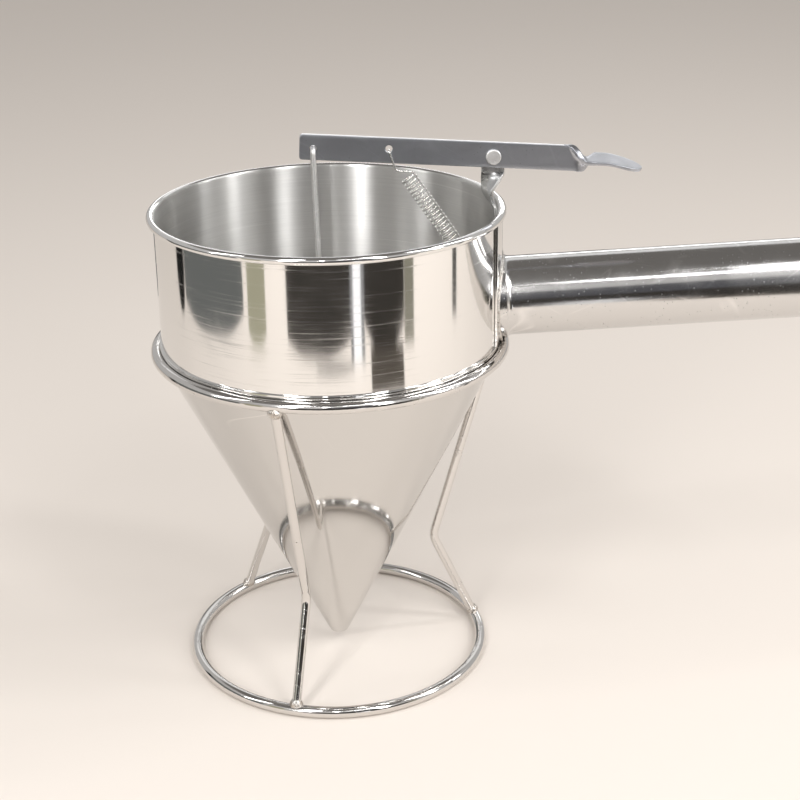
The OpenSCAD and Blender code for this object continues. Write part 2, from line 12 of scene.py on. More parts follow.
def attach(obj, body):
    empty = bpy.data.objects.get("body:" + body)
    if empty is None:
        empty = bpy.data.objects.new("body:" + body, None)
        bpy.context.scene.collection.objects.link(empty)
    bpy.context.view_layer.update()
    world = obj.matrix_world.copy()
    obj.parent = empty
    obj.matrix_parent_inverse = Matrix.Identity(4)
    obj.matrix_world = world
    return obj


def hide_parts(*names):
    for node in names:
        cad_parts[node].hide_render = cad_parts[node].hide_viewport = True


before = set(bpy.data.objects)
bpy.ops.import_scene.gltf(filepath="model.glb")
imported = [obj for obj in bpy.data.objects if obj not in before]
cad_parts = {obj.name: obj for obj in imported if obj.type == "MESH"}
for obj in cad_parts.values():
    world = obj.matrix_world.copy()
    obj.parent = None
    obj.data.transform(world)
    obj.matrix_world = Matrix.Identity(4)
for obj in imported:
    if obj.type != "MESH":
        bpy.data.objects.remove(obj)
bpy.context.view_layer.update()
scene = bpy.context.scene

MM = 0.001

# ---- Sizes -------------------------------------------------------------------

# Funnel
BOWL_R = 72.2
SHEET = 0.6
INNER_R = BOWL_R - SHEET
BEAD_R = 1.6
CURL_TURN = 298
HEM_T = 0.8
HEM_H = 2.1
HEM_R = BOWL_R + HEM_T
HEM_ROUND = (HEM_R - INNER_R) / 2
HEM_MID_R = INNER_R + HEM_ROUND
FLANGE_R = INNER_R - 0.05
FLANGE_BEND = 4
FLANGE_LAP = 2.5
OUTLET_Z = 5.5
LIP_R = 4.1
LIP_H = 2
LIP_FLARE = 1
FLANGE_Z = 143.5
SEAT_Z = 149.4
RIM_Z = 206.5
WALL_RUN = 54
WALL_STEPS = 12
RIM_TURN_STEPS = 8
FOLD_R = 0.3
CONE_TURN = math.atan((FLANGE_R - LIP_R - LIP_FLARE) / (FLANGE_Z - OUTLET_Z - LIP_H))

# Stand
RING_WIRE = 5
LEG_WIRE = 4
RING_R = 74.4
RING_Z = 147.426
BASE_R = 65.6
BASE_Z = RING_WIRE / 2
KNEE = Vector((45.5, 0, 47))
LEG_HEAD = Vector((RING_R + 0.9, 0, RING_Z - 1.2))
LEG_FOOT = Vector((BASE_R, 0, BASE_Z))
KNEE_BEND = 10
STAND_TURN = 15.5
STAND_BEAD_R = 2.7

# Handle
HANDLE_R = 16.85
HANDLE_WALL = 1.2
HANDLE_LEN = 150
HANDLE_RISE = math.radians(3.1)
HANDLE_Z = 167.551
ROOT_R = HANDLE_R + 1.2
PLATE_T = 1.1
PLATE_R = BOWL_R + PLATE_T + 0.05
PLATE_HALF = math.asin((HANDLE_R + 3.3) / BOWL_R)
CAP_RIM = 1
DOME_H = 4

# Lever and bracket
PIVOT = Vector((69.1, 0, 228.6))
LEVER_T = 2
LEVER_W = 10.6
LEVER_SLOPE = math.radians(3.1)
LEVER_LIFT = 0.8
LEVER_TAIL = 79.6
LEVER_Y = -2.35
ROD_HOLE = Vector((-4.781, LEVER_Y, 232.802))
SPRING_HOLE = Vector((26.344, LEVER_Y, 232.418))
HOLE_D = 3
ROD_HOLE_D = 2.9
TAIL_CORNER = 1.2
TWIST_AT = 32.5
TWIST_LEN = 7.5
TWIST_SKEW = 0.42
PAD_TWIST = math.radians(96)
PAD_REACH = 61.2
PAD_W = 13
PAD_T = 1.3
PAD_TAPER = 9
PAD_DROOP = math.tan(math.radians(13.5))
DROOP_AT = PAD_REACH - 13.2
DROOP_SOFT = 3
# Where the painted highlight along the lever's top edge stops, short of the thumb pad
TOP_HIGHLIGHT_END = 98
BRACKET_T = 1.5
BRACKET_W = 9.6
EAR_Z = PIVOT.z - 6.1
TWIST_TOP = EAR_Z - 1.3
NECK_Z = PIVOT.z - 14.6
NECK_X = PIVOT.x - 2.3
NECK_TWIST = math.radians(70)
FOOT_X = 70.64
FOOT_TOP = 203
FOOT_LOW = 180
TAB_TURN = math.radians(40)
TAB_LEN = 9
TAB_END_W = 7.7
TAB_HOLE = Vector((66.75, 0, 174.82))
RIVET_D = 3
RIVET_HEAD_R = 3.2
RIVET_HEAD_H = 1.1
RIVET_TAIL_R = 2.55
RIVET_TAIL_H = 0.9
WASHER_R = 3.3
WASHER_T = 0.5
SNUG = 0.05

# Stopper
ROD_D = 2.4
ROD_BEND = 1.8
ROD_Y = -5.4
ROD_BACK = 2.15
PLUG_LOW = 8.7
PLUG_SEAT_H = 4.5
PLUG_NECK_R = 2.5
PLUG_GAP = 0.2

# Return spring
SPRING_WIRE = 0.8
COIL_R = 3.2
CURLS = 26
HOOK_OUT = 7.5
HOOK_DROP = 11.8
HOOK_LEN = 8.5
HOOK_TAIL = 3
HOOK_GAP = 0.25
AIM_LOW = 2.7
HOOK_BEND = 0.9
HOOK_STAND = 0.6
COIL_STEPS = 24


# ---- Mesh helpers ------------------------------------------------------------

def arc(x, y, r, start, stop, steps):
    """Points on an arc, from one angle to another, in degrees."""
    turns = (math.radians(start + (stop - start) * i / steps) for i in range(steps + 1))
    return [(x + r * math.cos(a), y + r * math.sin(a)) for a in turns]


def soft(s):
    """Smooth step from 0 to 1."""
    s = min(max(s, 0.0), 1.0)
    return s * s * (3 - 2 * s)


def finished(name, bm, finishes, crease=34):
    """The bmesh, in millimetres, as an object in metres, smooth but for its sharp edges."""
    bmesh.ops.remove_doubles(bm, verts=bm.verts, dist=1e-4)
    bmesh.ops.recalc_face_normals(bm, faces=bm.faces)
    limit = math.radians(crease)
    for face in bm.faces:
        face.smooth = True
    for edge in bm.edges:
        edge.smooth = len(edge.link_faces) == 2 and edge.calc_face_angle(0) < limit
    mesh = bpy.data.meshes.new(name)
    bm.to_mesh(mesh)
    bm.free()
    mesh.transform(Matrix.Scale(MM, 4))
    for finish in finishes:
        mesh.materials.append(finish)
    obj = bpy.data.objects.new(name, mesh)
    scene.collection.objects.link(obj)
    return obj


def turned(outline, sides=256, place=None, finish_of=None):
    """A closed outline of (radius, height), spun round Z and put in place."""
    bm = bmesh.new()
    circle = [(math.cos(math.tau * j / sides), math.sin(math.tau * j / sides)) for j in range(sides)]
    rings = []
    for r, z in outline:
        if r < 1e-6:
            rings.append([bm.verts.new((0, 0, z))] * sides)
        else:
            rings.append([bm.verts.new((r * c, r * s, z)) for c, s in circle])
    for i, ring in enumerate(rings):
        above = rings[(i + 1) % len(rings)]
        for j in range(sides):
            k = (j + 1) % sides
            corners = list(dict.fromkeys((ring[j], ring[k], above[k], above[j])))
            if len(corners) > 2:
                face = bm.faces.new(corners)
                face.material_index = finish_of(i) if finish_of else 0
    if place:
        bm.transform(place)
    return bm


def pressed_strip(middle, along, width, thick, edge, place=None, flats=8):
    """A strip with rounded edges. middle(u, v) is its middle surface, u along it and
    v across it; width(u) and thick(u) are its sizes there."""
    bm = bmesh.new()
    rings = []
    step = 0.01
    for u in along:
        e = min(edge, width(u) * 0.3)
        w, t = width(u) / 2 - e, thick(u) / 2 - e
        over = [(-w + 2 * w * i / flats, t + e) for i in range(1, flats)]
        under = [(w - 2 * w * i / flats, -t - e) for i in range(1, flats)]
        corners = (arc(w, t, e, 90, 0, 4) + arc(w, -t, e, 0, -90, 4) + under
                   + arc(-w, -t, e, -90, -180, 4) + arc(-w, t, e, 180, 90, 4) + over)
        ring = []
        for v, h in corners:
            ahead = middle(u + step, v) - middle(u - step, v)
            aside = middle(u, v + step) - middle(u, v - step)
            ring.append(bm.verts.new(middle(u, v) + h * aside.cross(ahead).normalized()))
        rings.append(ring)
    count = len(rings[0])
    for low, high in zip(rings, rings[1:]):
        for j in range(count):
            k = (j + 1) % count
            bm.faces.new((low[j], low[k], high[k], high[j]))
    bm.faces.new(rings[0])
    bm.faces.new(list(reversed(rings[-1])))
    if place:
        bm.transform(place)
    return bm


def remade(name, obj, finishes, crease):
    """What the object's modifiers make of it, as a new finished object in its place."""
    bpy.context.view_layer.update()
    ready = obj.evaluated_get(bpy.context.evaluated_depsgraph_get())
    mesh = bpy.data.meshes.new_from_object(ready)
    bpy.data.objects.remove(obj)
    bm = bmesh.new()
    bm.from_mesh(mesh)
    bpy.data.meshes.remove(mesh)
    bm.transform(Matrix.Scale(1 / MM, 4))
    return finished(name, bm, finishes, crease)


def drilled(name, bm, holes, finishes, crease=34):
    """The bmesh with holes of (middle, direction, diameter) through it, their mouths broken."""
    body = finished(name + "_blank", bm, finishes)
    drills = []
    for at, way, d in holes:
        r, flare = d / 2, 0.22
        reach = [(0, -3), (r + 2, -3), (r + flare, -LEVER_T / 2 - 0.02), (r, -LEVER_T / 2 + flare),
                 (r, LEVER_T / 2 - flare), (r + flare, LEVER_T / 2 + 0.02), (r + 2, 3), (0, 3)]
        turn = Matrix.Translation(at) @ way.to_track_quat("Z", "Y").to_matrix().to_4x4()
        drills.append(finished("drill", turned(reach, 48, turn), finishes))
        cut = body.modifiers.new("hole", "BOOLEAN")
        cut.operation, cut.solver, cut.object = "DIFFERENCE", "EXACT", drills[-1]
    done = remade(name, body, finishes, crease)
    for drill in drills:
        bpy.data.objects.remove(drill)
    return done


def bent(a, knee, b, radius, steps=16):
    """Points of a wire from a to b, bent once at the knee."""
    to_a, to_b = (a - knee).normalized(), (b - knee).normalized()
    opening = to_a.angle(to_b)
    tangent = radius / math.tan(opening / 2)
    middle = knee + (to_a + to_b).normalized() * radius / math.sin(opening / 2)
    start, stop = knee + to_a * tangent - middle, knee + to_b * tangent - middle
    turn = start.rotation_difference(stop)
    axis, whole = turn.to_axis_angle()
    curve = []
    for i in range(steps + 1):
        curve.append(middle + Matrix.Rotation(whole * i / steps, 3, axis) @ start)
    return [a, *curve, b]


# ---- Node helpers ------------------------------------------------------------

class Wiring:
    """Places and links the nodes of one tree."""

    def __init__(self, tree):
        self.tree = tree

    def feed(self, socket, value):
        if isinstance(value, bpy.types.NodeSocket):
            self.tree.links.new(value, socket)
        else:
            socket.default_value = value

    def place(self, kind, given=None, **settings):
        made = self.tree.nodes.new(kind)
        for key, value in settings.items():
            setattr(made, key, value)
        for key, value in (given or {}).items():
            self.feed(made.inputs[key], value)
        return made

    def node(self, kind, given=None, **settings):
        return self.place("ShaderNode" + kind, given, **settings)

    def math(self, operation, *values, clamp=False):
        made = self.node("Math", operation=operation, use_clamp=clamp)
        for socket, value in zip(made.inputs, values):
            self.feed(socket, value)
        return made.outputs[0]

    def part(self, value, share):
        return self.math("MULTIPLY", value, share)

    def more(self, value, extra, share):
        return self.math("MULTIPLY_ADD", extra, share, value)

    def scaled(self, vector, by):
        return self.node("VectorMath", {0: vector, 1: by}, operation="MULTIPLY").outputs[0]

    def noise(self, vector, scale=1.0, detail=2.0, rough=0.5, distortion=0.0):
        return self.node("TexNoise", {"Vector": vector, "Scale": scale, "Detail": detail,
                                      "Roughness": rough, "Distortion": distortion}).outputs[0]

    def ranged(self, value, low, high, to_low=0.0, to_high=1.0, smooth=False):
        made = self.node("MapRange", {"Value": value, "From Min": low, "From Max": high,
                                      "To Min": to_low, "To Max": to_high})
        if smooth:
            made.interpolation_type = "SMOOTHSTEP"
        return made.outputs[0]

    def blended(self, share, a, b):
        return self.node("Mix", {0: share, 6: a, 7: b}, data_type="RGBA").outputs[2]


def group_of(kind, name, inputs, output):
    """A new node group's wiring, the sockets that its inputs arrive at, and its output's socket.
    Inputs are (name, kind), or (name, kind, default)."""
    tree = bpy.data.node_groups.new(name, kind + "NodeTree")
    for label, socket_kind, *default in inputs:
        socket = tree.interface.new_socket(label, in_out="INPUT", socket_type="NodeSocket" + socket_kind)
        if default:
            socket.default_value = default[0]
    label, socket_kind = output
    tree.interface.new_socket(label, in_out="OUTPUT", socket_type="NodeSocket" + socket_kind)
    given = tree.nodes.new("NodeGroupInput").outputs
    return Wiring(tree), given, tree.nodes.new("NodeGroupOutput").inputs[0]


# ---- Grown pieces: wires, springs and beads along a path ---------------------

def tree_of(name, *inputs):
    """A new geometry tree with these inputs besides its path."""
    return group_of("Geometry", name, (("Geometry", "Geometry"), *inputs), ("Geometry", "Geometry"))


def dressed(w, shape, finish, out):
    """Ends a tree: one smooth mesh in its finish."""
    whole = w.place("GeometryNodeRealizeInstances", {0: shape}).outputs[0]
    smooth = w.place("GeometryNodeSetShadeSmooth", {"Geometry": whole}).outputs[0]
    done = w.place("GeometryNodeSetMaterial", {"Geometry": smooth, "Material": finish}).outputs[0]
    w.feed(out, done)
    return w.tree


def drawn_wire_tree():
    """A round wire drawn along a path, thinner where the path's own radius is smaller."""
    w, given, out = tree_of("drawn_wire", ("Wire", "Float"), ("Sides", "Int"), ("Finish", "Material"))
    radius = w.math("MULTIPLY", given["Wire"], 0.5)
    ring = w.place("GeometryNodeCurvePrimitiveCircle", {"Resolution": given["Sides"], "Radius": radius})
    thinned = w.place("GeometryNodeInputRadius").outputs[0]
    skin = w.place("GeometryNodeCurveToMesh", {"Curve": given["Geometry"], "Scale": thinned,
                                               "Profile Curve": ring.outputs["Curve"], "Fill Caps": True})
    return dressed(w, skin.outputs[0], given["Finish"], out)


LEAST_BEAD = 0.86


def weld_row_tree():
    """Overlapping beads along a path, like the ripples of a welded seam."""
    w, given, out = tree_of("weld_row", ("Bead", "Float"), ("Pitch", "Float"), ("Height", "Float"),
                            ("Seed", "Int"), ("Finish", "Material"))
    places = w.place("GeometryNodeCurveToPoints", {"Curve": given["Geometry"], "Length": given["Pitch"]},
                     mode="LENGTH").outputs
    ball = w.place("GeometryNodeMeshIcoSphere", {"Subdivisions": 3, "Radius": given["Bead"]})
    chance = w.place("FunctionNodeRandomValue", {"Seed": given["Seed"]}, data_type="FLOAT")
    least, most = [socket for socket in chance.inputs if socket.enabled][:2]
    least.default_value, most.default_value = LEAST_BEAD, 1.0
    drawn = next(socket for socket in chance.outputs if socket.enabled)
    tall = w.math("MULTIPLY", drawn, given["Height"])
    size = w.node("CombineXYZ", {"X": tall, "Y": drawn, "Z": drawn}).outputs[0]
    row = w.place("GeometryNodeInstanceOnPoints", {"Points": places["Points"], "Scale": size,
                                                   "Rotation": places["Rotation"],
                                                   "Instance": ball.outputs["Mesh"]})
    return dressed(w, row.outputs[0], given["Finish"], out)


def path_curve(name, points, closed=False, rounded=0.0):
    """A curve object through the points, in metres. Open ends are rounded over the given length."""
    data = bpy.data.curves.new(name, "CURVE")
    data.dimensions = "3D"
    spline = data.splines.new("POLY")
    spline.points.add(len(points) - 1)
    spline.use_cyclic_u = closed
    row = list(spline.points)
    for made, p in zip(row, points):
        made.co = (*(Vector(p) * MM), 1)
        made.radius = 1
    if rounded:
        for ends, inward in ((points, row), (points[::-1], row[::-1])):
            for made, p in zip(inward, ends):
                past = (Vector(p) - Vector(ends[0])).length
                if past >= rounded:
                    break
                share = 1 - past / rounded
                made.radius = max(math.sqrt(max(1 - share * share, 0)), 0.05)
    obj = bpy.data.objects.new(name, data)
    scene.collection.objects.link(obj)
    return obj


def dense_ends(points, radius):
    """The path with close points near both ends, for a rounded tip."""
    def eased_end(p, q):
        way = (q - p).normalized()
        return [p + way * radius * (1 - math.cos(math.radians(15 * k))) for k in range(7)]
    points = [Vector(p) for p in points]
    return eased_end(points[0], points[1]) + points[1:-1] + eased_end(points[-1], points[-2])[::-1]


def grown(name, tree, source, finish, crease=50, **values):
    """What the tree makes of the source curve, as a plain smooth mesh object."""
    values["Finish"] = finish
    maker = source.modifiers.new(name, "NODES")
    maker.node_group = tree
    for item in tree.interface.items_tree:
        if item.in_out == "INPUT" and item.name in values:
            maker[item.identifier] = values[item.name]
    return remade(name, source, [finish], crease)


def wire(name, points, finish, thick, sides, closed=False, rounded=False):
    """A round wire through the points. An open one can have rounded ends."""
    if rounded:
        points = dense_ends(points, thick / 2)
    path = path_curve(name + "_line", points, closed, thick / 2 if rounded else 0)
    return grown(name, WIRE_TREE, path, finish, Wire=thick * MM, Sides=sides)


# ---- Shader effects ----------------------------------------------------------

def effect(name, output, *inputs):
    """A new shader group that makes one value from a place, and from these inputs."""
    return group_of("Shader", name, (("Vector", "Vector"), *inputs), (output, "Float"))


def brush_lines_effect():
    """Fine lines left by a belt or a wheel. Stretch is large across the lines."""
    w, given, out = effect("brush_lines", "Lines", ("Stretch", "Vector", (30, 30, 2500)),
                           ("Contrast", "Float", 1.6))
    coarse = w.noise(w.scaled(given["Vector"], given["Stretch"]), 1.0, 3.0, 0.6)
    fine = w.noise(w.scaled(given["Vector"], given["Stretch"]), 3.1, 2.0, 0.6)
    both = w.math("ADD", w.part(coarse, 0.6), w.part(fine, 0.4))
    w.feed(out, w.math("MULTIPLY_ADD", w.math("SUBTRACT", both, 0.5), given["Contrast"], 0.5, clamp=True))
    return w.tree


def stray_scratches_effect():
    """Thin bright scratches that run in a few directions and break off."""
    w, given, out = effect("stray_scratches", "Mask", ("Size", "Float", 60), ("Width", "Float", 0.012),
                           ("Sparse", "Float", 0.6))
    total = 0.0
    for turn, lift in (((0.4, 1.1, 0.3), 3.0), ((1.3, 0.2, 2.1), 11.0), ((2.4, 0.9, 1.2), 23.0)):
        turned_to = w.node("Mapping", {"Vector": given["Vector"], "Rotation": turn,
                                       "Location": (lift, lift, 0)})
        along = w.scaled(turned_to.outputs[0], (1.0, 0.06, 0.25))
        line = w.noise(along, given["Size"], 0.0, 0.5, 0.6)
        near = w.math("ABSOLUTE", w.math("SUBTRACT", line, 0.5))
        thin = w.math("SUBTRACT", 1.0, w.math("DIVIDE", near, given["Width"]), clamp=True)
        where = w.noise(turned_to.outputs[0], w.math("MULTIPLY", given["Size"], 0.45), 1.0)
        kept = w.math("MULTIPLY", w.math("SUBTRACT", where, given["Sparse"]), 14.0, clamp=True)
        total = w.math("MAXIMUM", w.math("MULTIPLY", thin, kept), total)
    w.feed(out, total)
    return w.tree


def handled_haze_effect():
    """Cloudy patches where the metal has been touched and wiped."""
    w, given, out = effect("handled_haze", "Haze", ("Size", "Float", 30))
    cloud = w.noise(given["Vector"], given["Size"], 4.0, 0.6, 1.2)
    w.feed(out, w.ranged(cloud, 0.38, 0.68, smooth=True))
    return w.tree


def sheet_wave_effect():
    """The slow unevenness of formed sheet, as a height."""
    w, given, out = effect("sheet_wave", "Height", ("Size", "Float", 14))
    w.feed(out, w.noise(given["Vector"], given["Size"], 1.0, 0.4, 0.3))
    return w.tree


def pits_effect():
    """Small round pits and specks, some places fuller than others."""
    w, given, out = effect("pits", "Mask", ("Size", "Float", 700), ("Share", "Float", 0.3))
    cells = w.node("TexVoronoi", {"Vector": given["Vector"], "Scale": given["Size"], "Randomness": 1.0})
    spot = w.ranged(cells.outputs["Distance"], 0.30, 0.12, smooth=True)
    lot = w.node("SeparateColor", {"Color": cells.outputs["Color"]}).outputs[0]
    patches = w.noise(given["Vector"], w.math("MULTIPLY", given["Size"], 0.06), 2.0)
    full = w.math("ADD", given["Share"], w.math("MULTIPLY", w.math("SUBTRACT", patches, 0.5), 0.9))
    w.feed(out, w.math("MULTIPLY", spot, w.math("LESS_THAN", lot, full)))
    return w.tree


EFFECTS = {tree.name: tree for tree in (brush_lines_effect(), stray_scratches_effect(),
                                        handled_haze_effect(), sheet_wave_effect(), pits_effect())}


def metal(name, colour, metallic=1.0, anisotropic=0.0):
    """A new metal, its wiring, its shader's inputs and its object coordinates. Highlights of
    an anisotropic one are pulled upright."""
    made = bpy.data.materials.new(name)
    made.use_nodes = True
    w = Wiring(made.node_tree)
    shader = made.node_tree.nodes["Principled BSDF"]
    shader.inputs["Base Color"].default_value = (*colour, 1)
    shader.inputs["Metallic"].default_value = metallic
    shader.inputs["Anisotropic"].default_value = anisotropic
    if anisotropic:
        w.feed(shader.inputs["Tangent"], w.node("CombineXYZ", {"Z": 1.0}).outputs[0])
    return made, w, shader.inputs, w.node("TexCoord").outputs["Object"]


def laid(w, name, vector, **given):
    """One of the effects, placed in a material, with its own values."""
    made = w.tree.nodes.new("ShaderNodeGroup")
    made.node_tree = EFFECTS[name]
    w.feed(made.inputs["Vector"], vector)
    for key, value in given.items():
        w.feed(made.inputs[key], value)
    return made.outputs[0]


def dented(w, shader, layers):
    """Stacks bumps of (height, strength, distance in metres) on the shader's normal."""
    normal = None
    for height, strength, distance in layers:
        made = w.node("Bump", {"Height": height, "Strength": strength, "Distance": distance})
        if normal:
            w.feed(made.inputs["Normal"], normal)
        normal = made.outputs[0]
    w.feed(shader["Normal"], normal)


def roughened(w, shader, rough, *layers):
    """Adds up a roughness from (mask, share) and gives it to the shader."""
    for mask, share in layers:
        rough = w.more(rough, mask, share)
    w.feed(shader["Roughness"], rough)


def tinted(w, shader, tone, *layers):
    """Lays (mask, share, colour) over the tone, one after the other, for the shader's colour."""
    for mask, share, colour in layers:
        tone = w.blended(w.part(mask, share), tone, colour)
    w.feed(shader["Base Color"], tone)


def shaded(colour, by):
    """The colour, darker or paler, with its fourth value."""
    return (*(min(c * by, 1) for c in colour[:3]), 1)


# ---- Finishes ----------------------------------------------------------------

# Colour of the painted highlight on the lever's upward faces, standing in for the light that its top edge
# catches
TOP_EDGE_HIGHLIGHT = (0.92, 0.92, 0.93, 1)

def bowl_inside_finish():
    """Spun inside: circular lines that pull each highlight up and down the wall."""
    made, w, shader, at = metal("bowl_inside", (0.74, 0.73, 0.71), anisotropic=1.0)
    lines = laid(w, "brush_lines", at, Stretch=(16, 16, 1300), Contrast=1.8)
    fine = laid(w, "brush_lines", at, Stretch=(10, 10, 2600), Contrast=1.0)
    haze = laid(w, "handled_haze", at, Size=18)
    hairs = w.ranged(w.noise(w.scaled(at, (11, 11, 900)), 1.0, 2.0), 0.66, 0.74)
    tone = w.blended(lines, (0.66, 0.65, 0.63, 1), (0.78, 0.77, 0.75, 1))
    tinted(w, shader, tone, (hairs, 0.5, (0.9, 0.89, 0.87, 1)))
    roughened(w, shader, 0.33, (hairs, 0.05), (haze, 0.03))
    dented(w, shader, [(fine, 0.3, 0.00002)])
    return made


def bowl_outside_finish():
    """Buffed outside: near a mirror, with faint circular lines that fray each reflection's edge."""
    made, w, shader, at = metal("bowl_outside", (0.82, 0.81, 0.795), anisotropic=0.3)
    lines = laid(w, "brush_lines", at, Stretch=(20, 20, 1700), Contrast=1.9)
    hairs = w.ranged(w.noise(w.scaled(at, (24, 24, 2300)), 1.0, 2.0, 0.6), 0.56, 0.74)
    haze = laid(w, "handled_haze", at, Size=34)
    marks = laid(w, "stray_scratches", at, Size=46, Width=0.006, Sparse=0.66)
    wave = laid(w, "sheet_wave", at, Size=16)
    w.feed(shader["Base Color"], w.blended(marks, (0.82, 0.81, 0.795, 1), (0.95, 0.94, 0.93, 1)))
    roughened(w, shader, 0.045, (lines, 0.04), (hairs, 0.13), (marks, 0.3), (haze, 0.03))
    dented(w, shader, [(wave, 0.35, 0.0006), (marks, 0.5, 0.00003)])
    return made


def cone_finish(name, low, high):
    """Cone sheet: polished outside, plainer inside."""
    made, w, shader, at = metal(name, (0.67, 0.66, 0.645), anisotropic=0.35)
    lines = laid(w, "brush_lines", at, Stretch=(24, 24, 1500), Contrast=1.7)
    haze = laid(w, "handled_haze", at, Size=28)
    marks = laid(w, "stray_scratches", at, Size=40, Width=0.006, Sparse=0.66)
    wave = laid(w, "sheet_wave", at, Size=13)
    w.feed(shader["Base Color"], w.blended(marks, (0.67, 0.66, 0.645, 1), (0.80, 0.79, 0.77, 1)))
    roughened(w, shader, low, (haze, (high - low) * 0.6), (lines, (high - low) * 0.4))
    dented(w, shader, [(wave, 0.35, 0.0007), (lines, 0.12, 0.00001), (marks, 0.4, 0.00002)])
    return made


def ring_wire_finish():
    """Bright drawn wire, polished, with fine marks and small dull patches."""
    made, w, shader, at = metal("stand_wire", (0.72, 0.70, 0.68))
    haze = laid(w, "handled_haze", at, Size=60)
    marks = laid(w, "stray_scratches", at, Size=150, Width=0.02, Sparse=0.6)
    specks = laid(w, "pits", at, Size=420, Share=0.10)
    tinted(w, shader, (0.72, 0.70, 0.68, 1), (specks, 0.5, (0.45, 0.42, 0.39, 1)))
    roughened(w, shader, 0.07, (haze, 0.08), (specks, 0.2), (marks, 0.2))
    dented(w, shader, [(haze, 0.10, 0.0002), (marks, 0.5, 0.00003), (specks, 0.3, 0.00003)])
    return made


def weld_finish():
    """Bead of weld: whitish and uneven, straw and brown where it ran hot."""
    made, w, shader, at = metal("weld_bead", (0.70, 0.67, 0.63))
    heat = laid(w, "handled_haze", at, Size=260)
    grit = w.noise(at, 1400.0, 3.0, 0.6)
    tone = w.blended(heat, (0.78, 0.76, 0.73, 1), (0.50, 0.42, 0.34, 1))
    w.feed(shader["Base Color"], w.blended(w.ranged(grit, 0.35, 0.6), (0.52, 0.49, 0.46, 1), tone))
    w.feed(shader["Roughness"], w.ranged(grit, 0.3, 0.7, 0.20, 0.42))
    dented(w, shader, [(grit, 0.6, 0.00012), (heat, 0.5, 0.0003)])
    return made


def handle_finish():
    """Buffed tube, worn by the hand: pits, faint lines along it and diagonal scratches."""
    made, w, shader, at = metal("handle_tube", (0.66, 0.65, 0.64))
    along = w.node("Mapping", {"Vector": at, "Rotation": (0, HANDLE_RISE, 0)}).outputs[0]
    lines = laid(w, "brush_lines", along, Stretch=(30, 900, 900), Contrast=1.6)
    specks = laid(w, "pits", at, Size=900, Share=0.15)
    haze = laid(w, "handled_haze", at, Size=38)
    marks = laid(w, "stray_scratches", at, Size=110, Width=0.02, Sparse=0.55)
    tinted(w, shader, (0.66, 0.65, 0.64, 1), (specks, 0.55, (0.34, 0.335, 0.335, 1)),
           (marks, 0.7, (0.82, 0.81, 0.8, 1)))
    grain = w.noise(at, 1500.0, 2.0, 0.7)
    roughened(w, shader, 0.11, (haze, 0.05), (lines, 0.05), (specks, 0.2))
    dented(w, shader, [(grain, 0.3, 0.00004), (specks, -0.5, 0.00003), (marks, 0.4, 0.00002)])
    return made


def plated_finish(name, pale, dark, low, high, worn=0.3, painted_top_highlight=False):
    """Dull plated strip: grey, specked and rubbed, with faint lines along it. With a painted top highlight,
    its upward faces are painted bright up to the thumb pad, as a painted highlight along its upper edge."""
    made, w, shader, at = metal(name, pale, 0.95)
    lines = laid(w, "brush_lines", at, Stretch=(60, 900, 1100), Contrast=1.8)
    haze = laid(w, "handled_haze", at, Size=70)
    specks = laid(w, "pits", at, Size=800, Share=worn)
    marks = laid(w, "stray_scratches", at, Size=150, Width=0.025, Sparse=0.5)
    tone = w.blended(haze, (*pale, 1), (*dark, 1))
    layers = [(specks, 0.45, shaded(pale, 0.45)), (marks, 0.25, shaded(pale, 1.4))]
    if painted_top_highlight:
        # Painted highlight: faces that point up, short of the thumb pad, are painted bright where the top
        # edge catches the light
        upward = w.node("SeparateXYZ", {"Vector": w.node("TexCoord").outputs["Normal"]}).outputs[2]
        along = w.node("SeparateXYZ", {"Vector": at}).outputs[0]
        before_pad = w.math("LESS_THAN", along, TOP_HIGHLIGHT_END * MM)
        layers.append((w.ranged(upward, 0.5, 0.8), before_pad, TOP_EDGE_HIGHLIGHT))
    tinted(w, shader, tone, *layers)
    roughened(w, shader, low, (haze, high - low), (lines, 0.06))
    dented(w, shader, [(lines, 0.25, 0.00002), (specks, -0.5, 0.00004), (marks, 0.5, 0.00003)])
    return made


def small_steel_finish(name, colour, low, high, size=300, drawn=False):
    """Steel of the small pieces: wire, rivet and stopper. A drawn one is smoother, and its
    highlights are pulled upright."""
    made, w, shader, at = metal(name, colour, anisotropic=0.95 if drawn else 0.0)
    haze = laid(w, "handled_haze", at, Size=size)
    specks = laid(w, "pits", at, Size=size * 4, Share=0.18)
    marks = laid(w, "stray_scratches", at, Size=size, Width=0.03, Sparse=0.52)
    tinted(w, shader, (*colour, 1), (specks, 0.6, shaded(colour, 0.5)), (marks, 0.5, shaded(colour, 1.25)))
    roughened(w, shader, low, (haze, high - low))
    deep = 0.15 if drawn else 1.0
    dented(w, shader, [(haze, 0.2 * deep, 0.00006), (marks, 0.4 * deep, 0.00002),
                       (specks, -0.4 * deep, 0.00003)])
    return made


BOWL_INSIDE = bowl_inside_finish()
BOWL_OUTSIDE = bowl_outside_finish()
CONE_OUTSIDE = cone_finish("cone_outside", 0.035, 0.09)
CONE_INSIDE = cone_finish("cone_inside", 0.16, 0.30)
STAND_WIRE = ring_wire_finish()
WELD = weld_finish()
HANDLE = handle_finish()
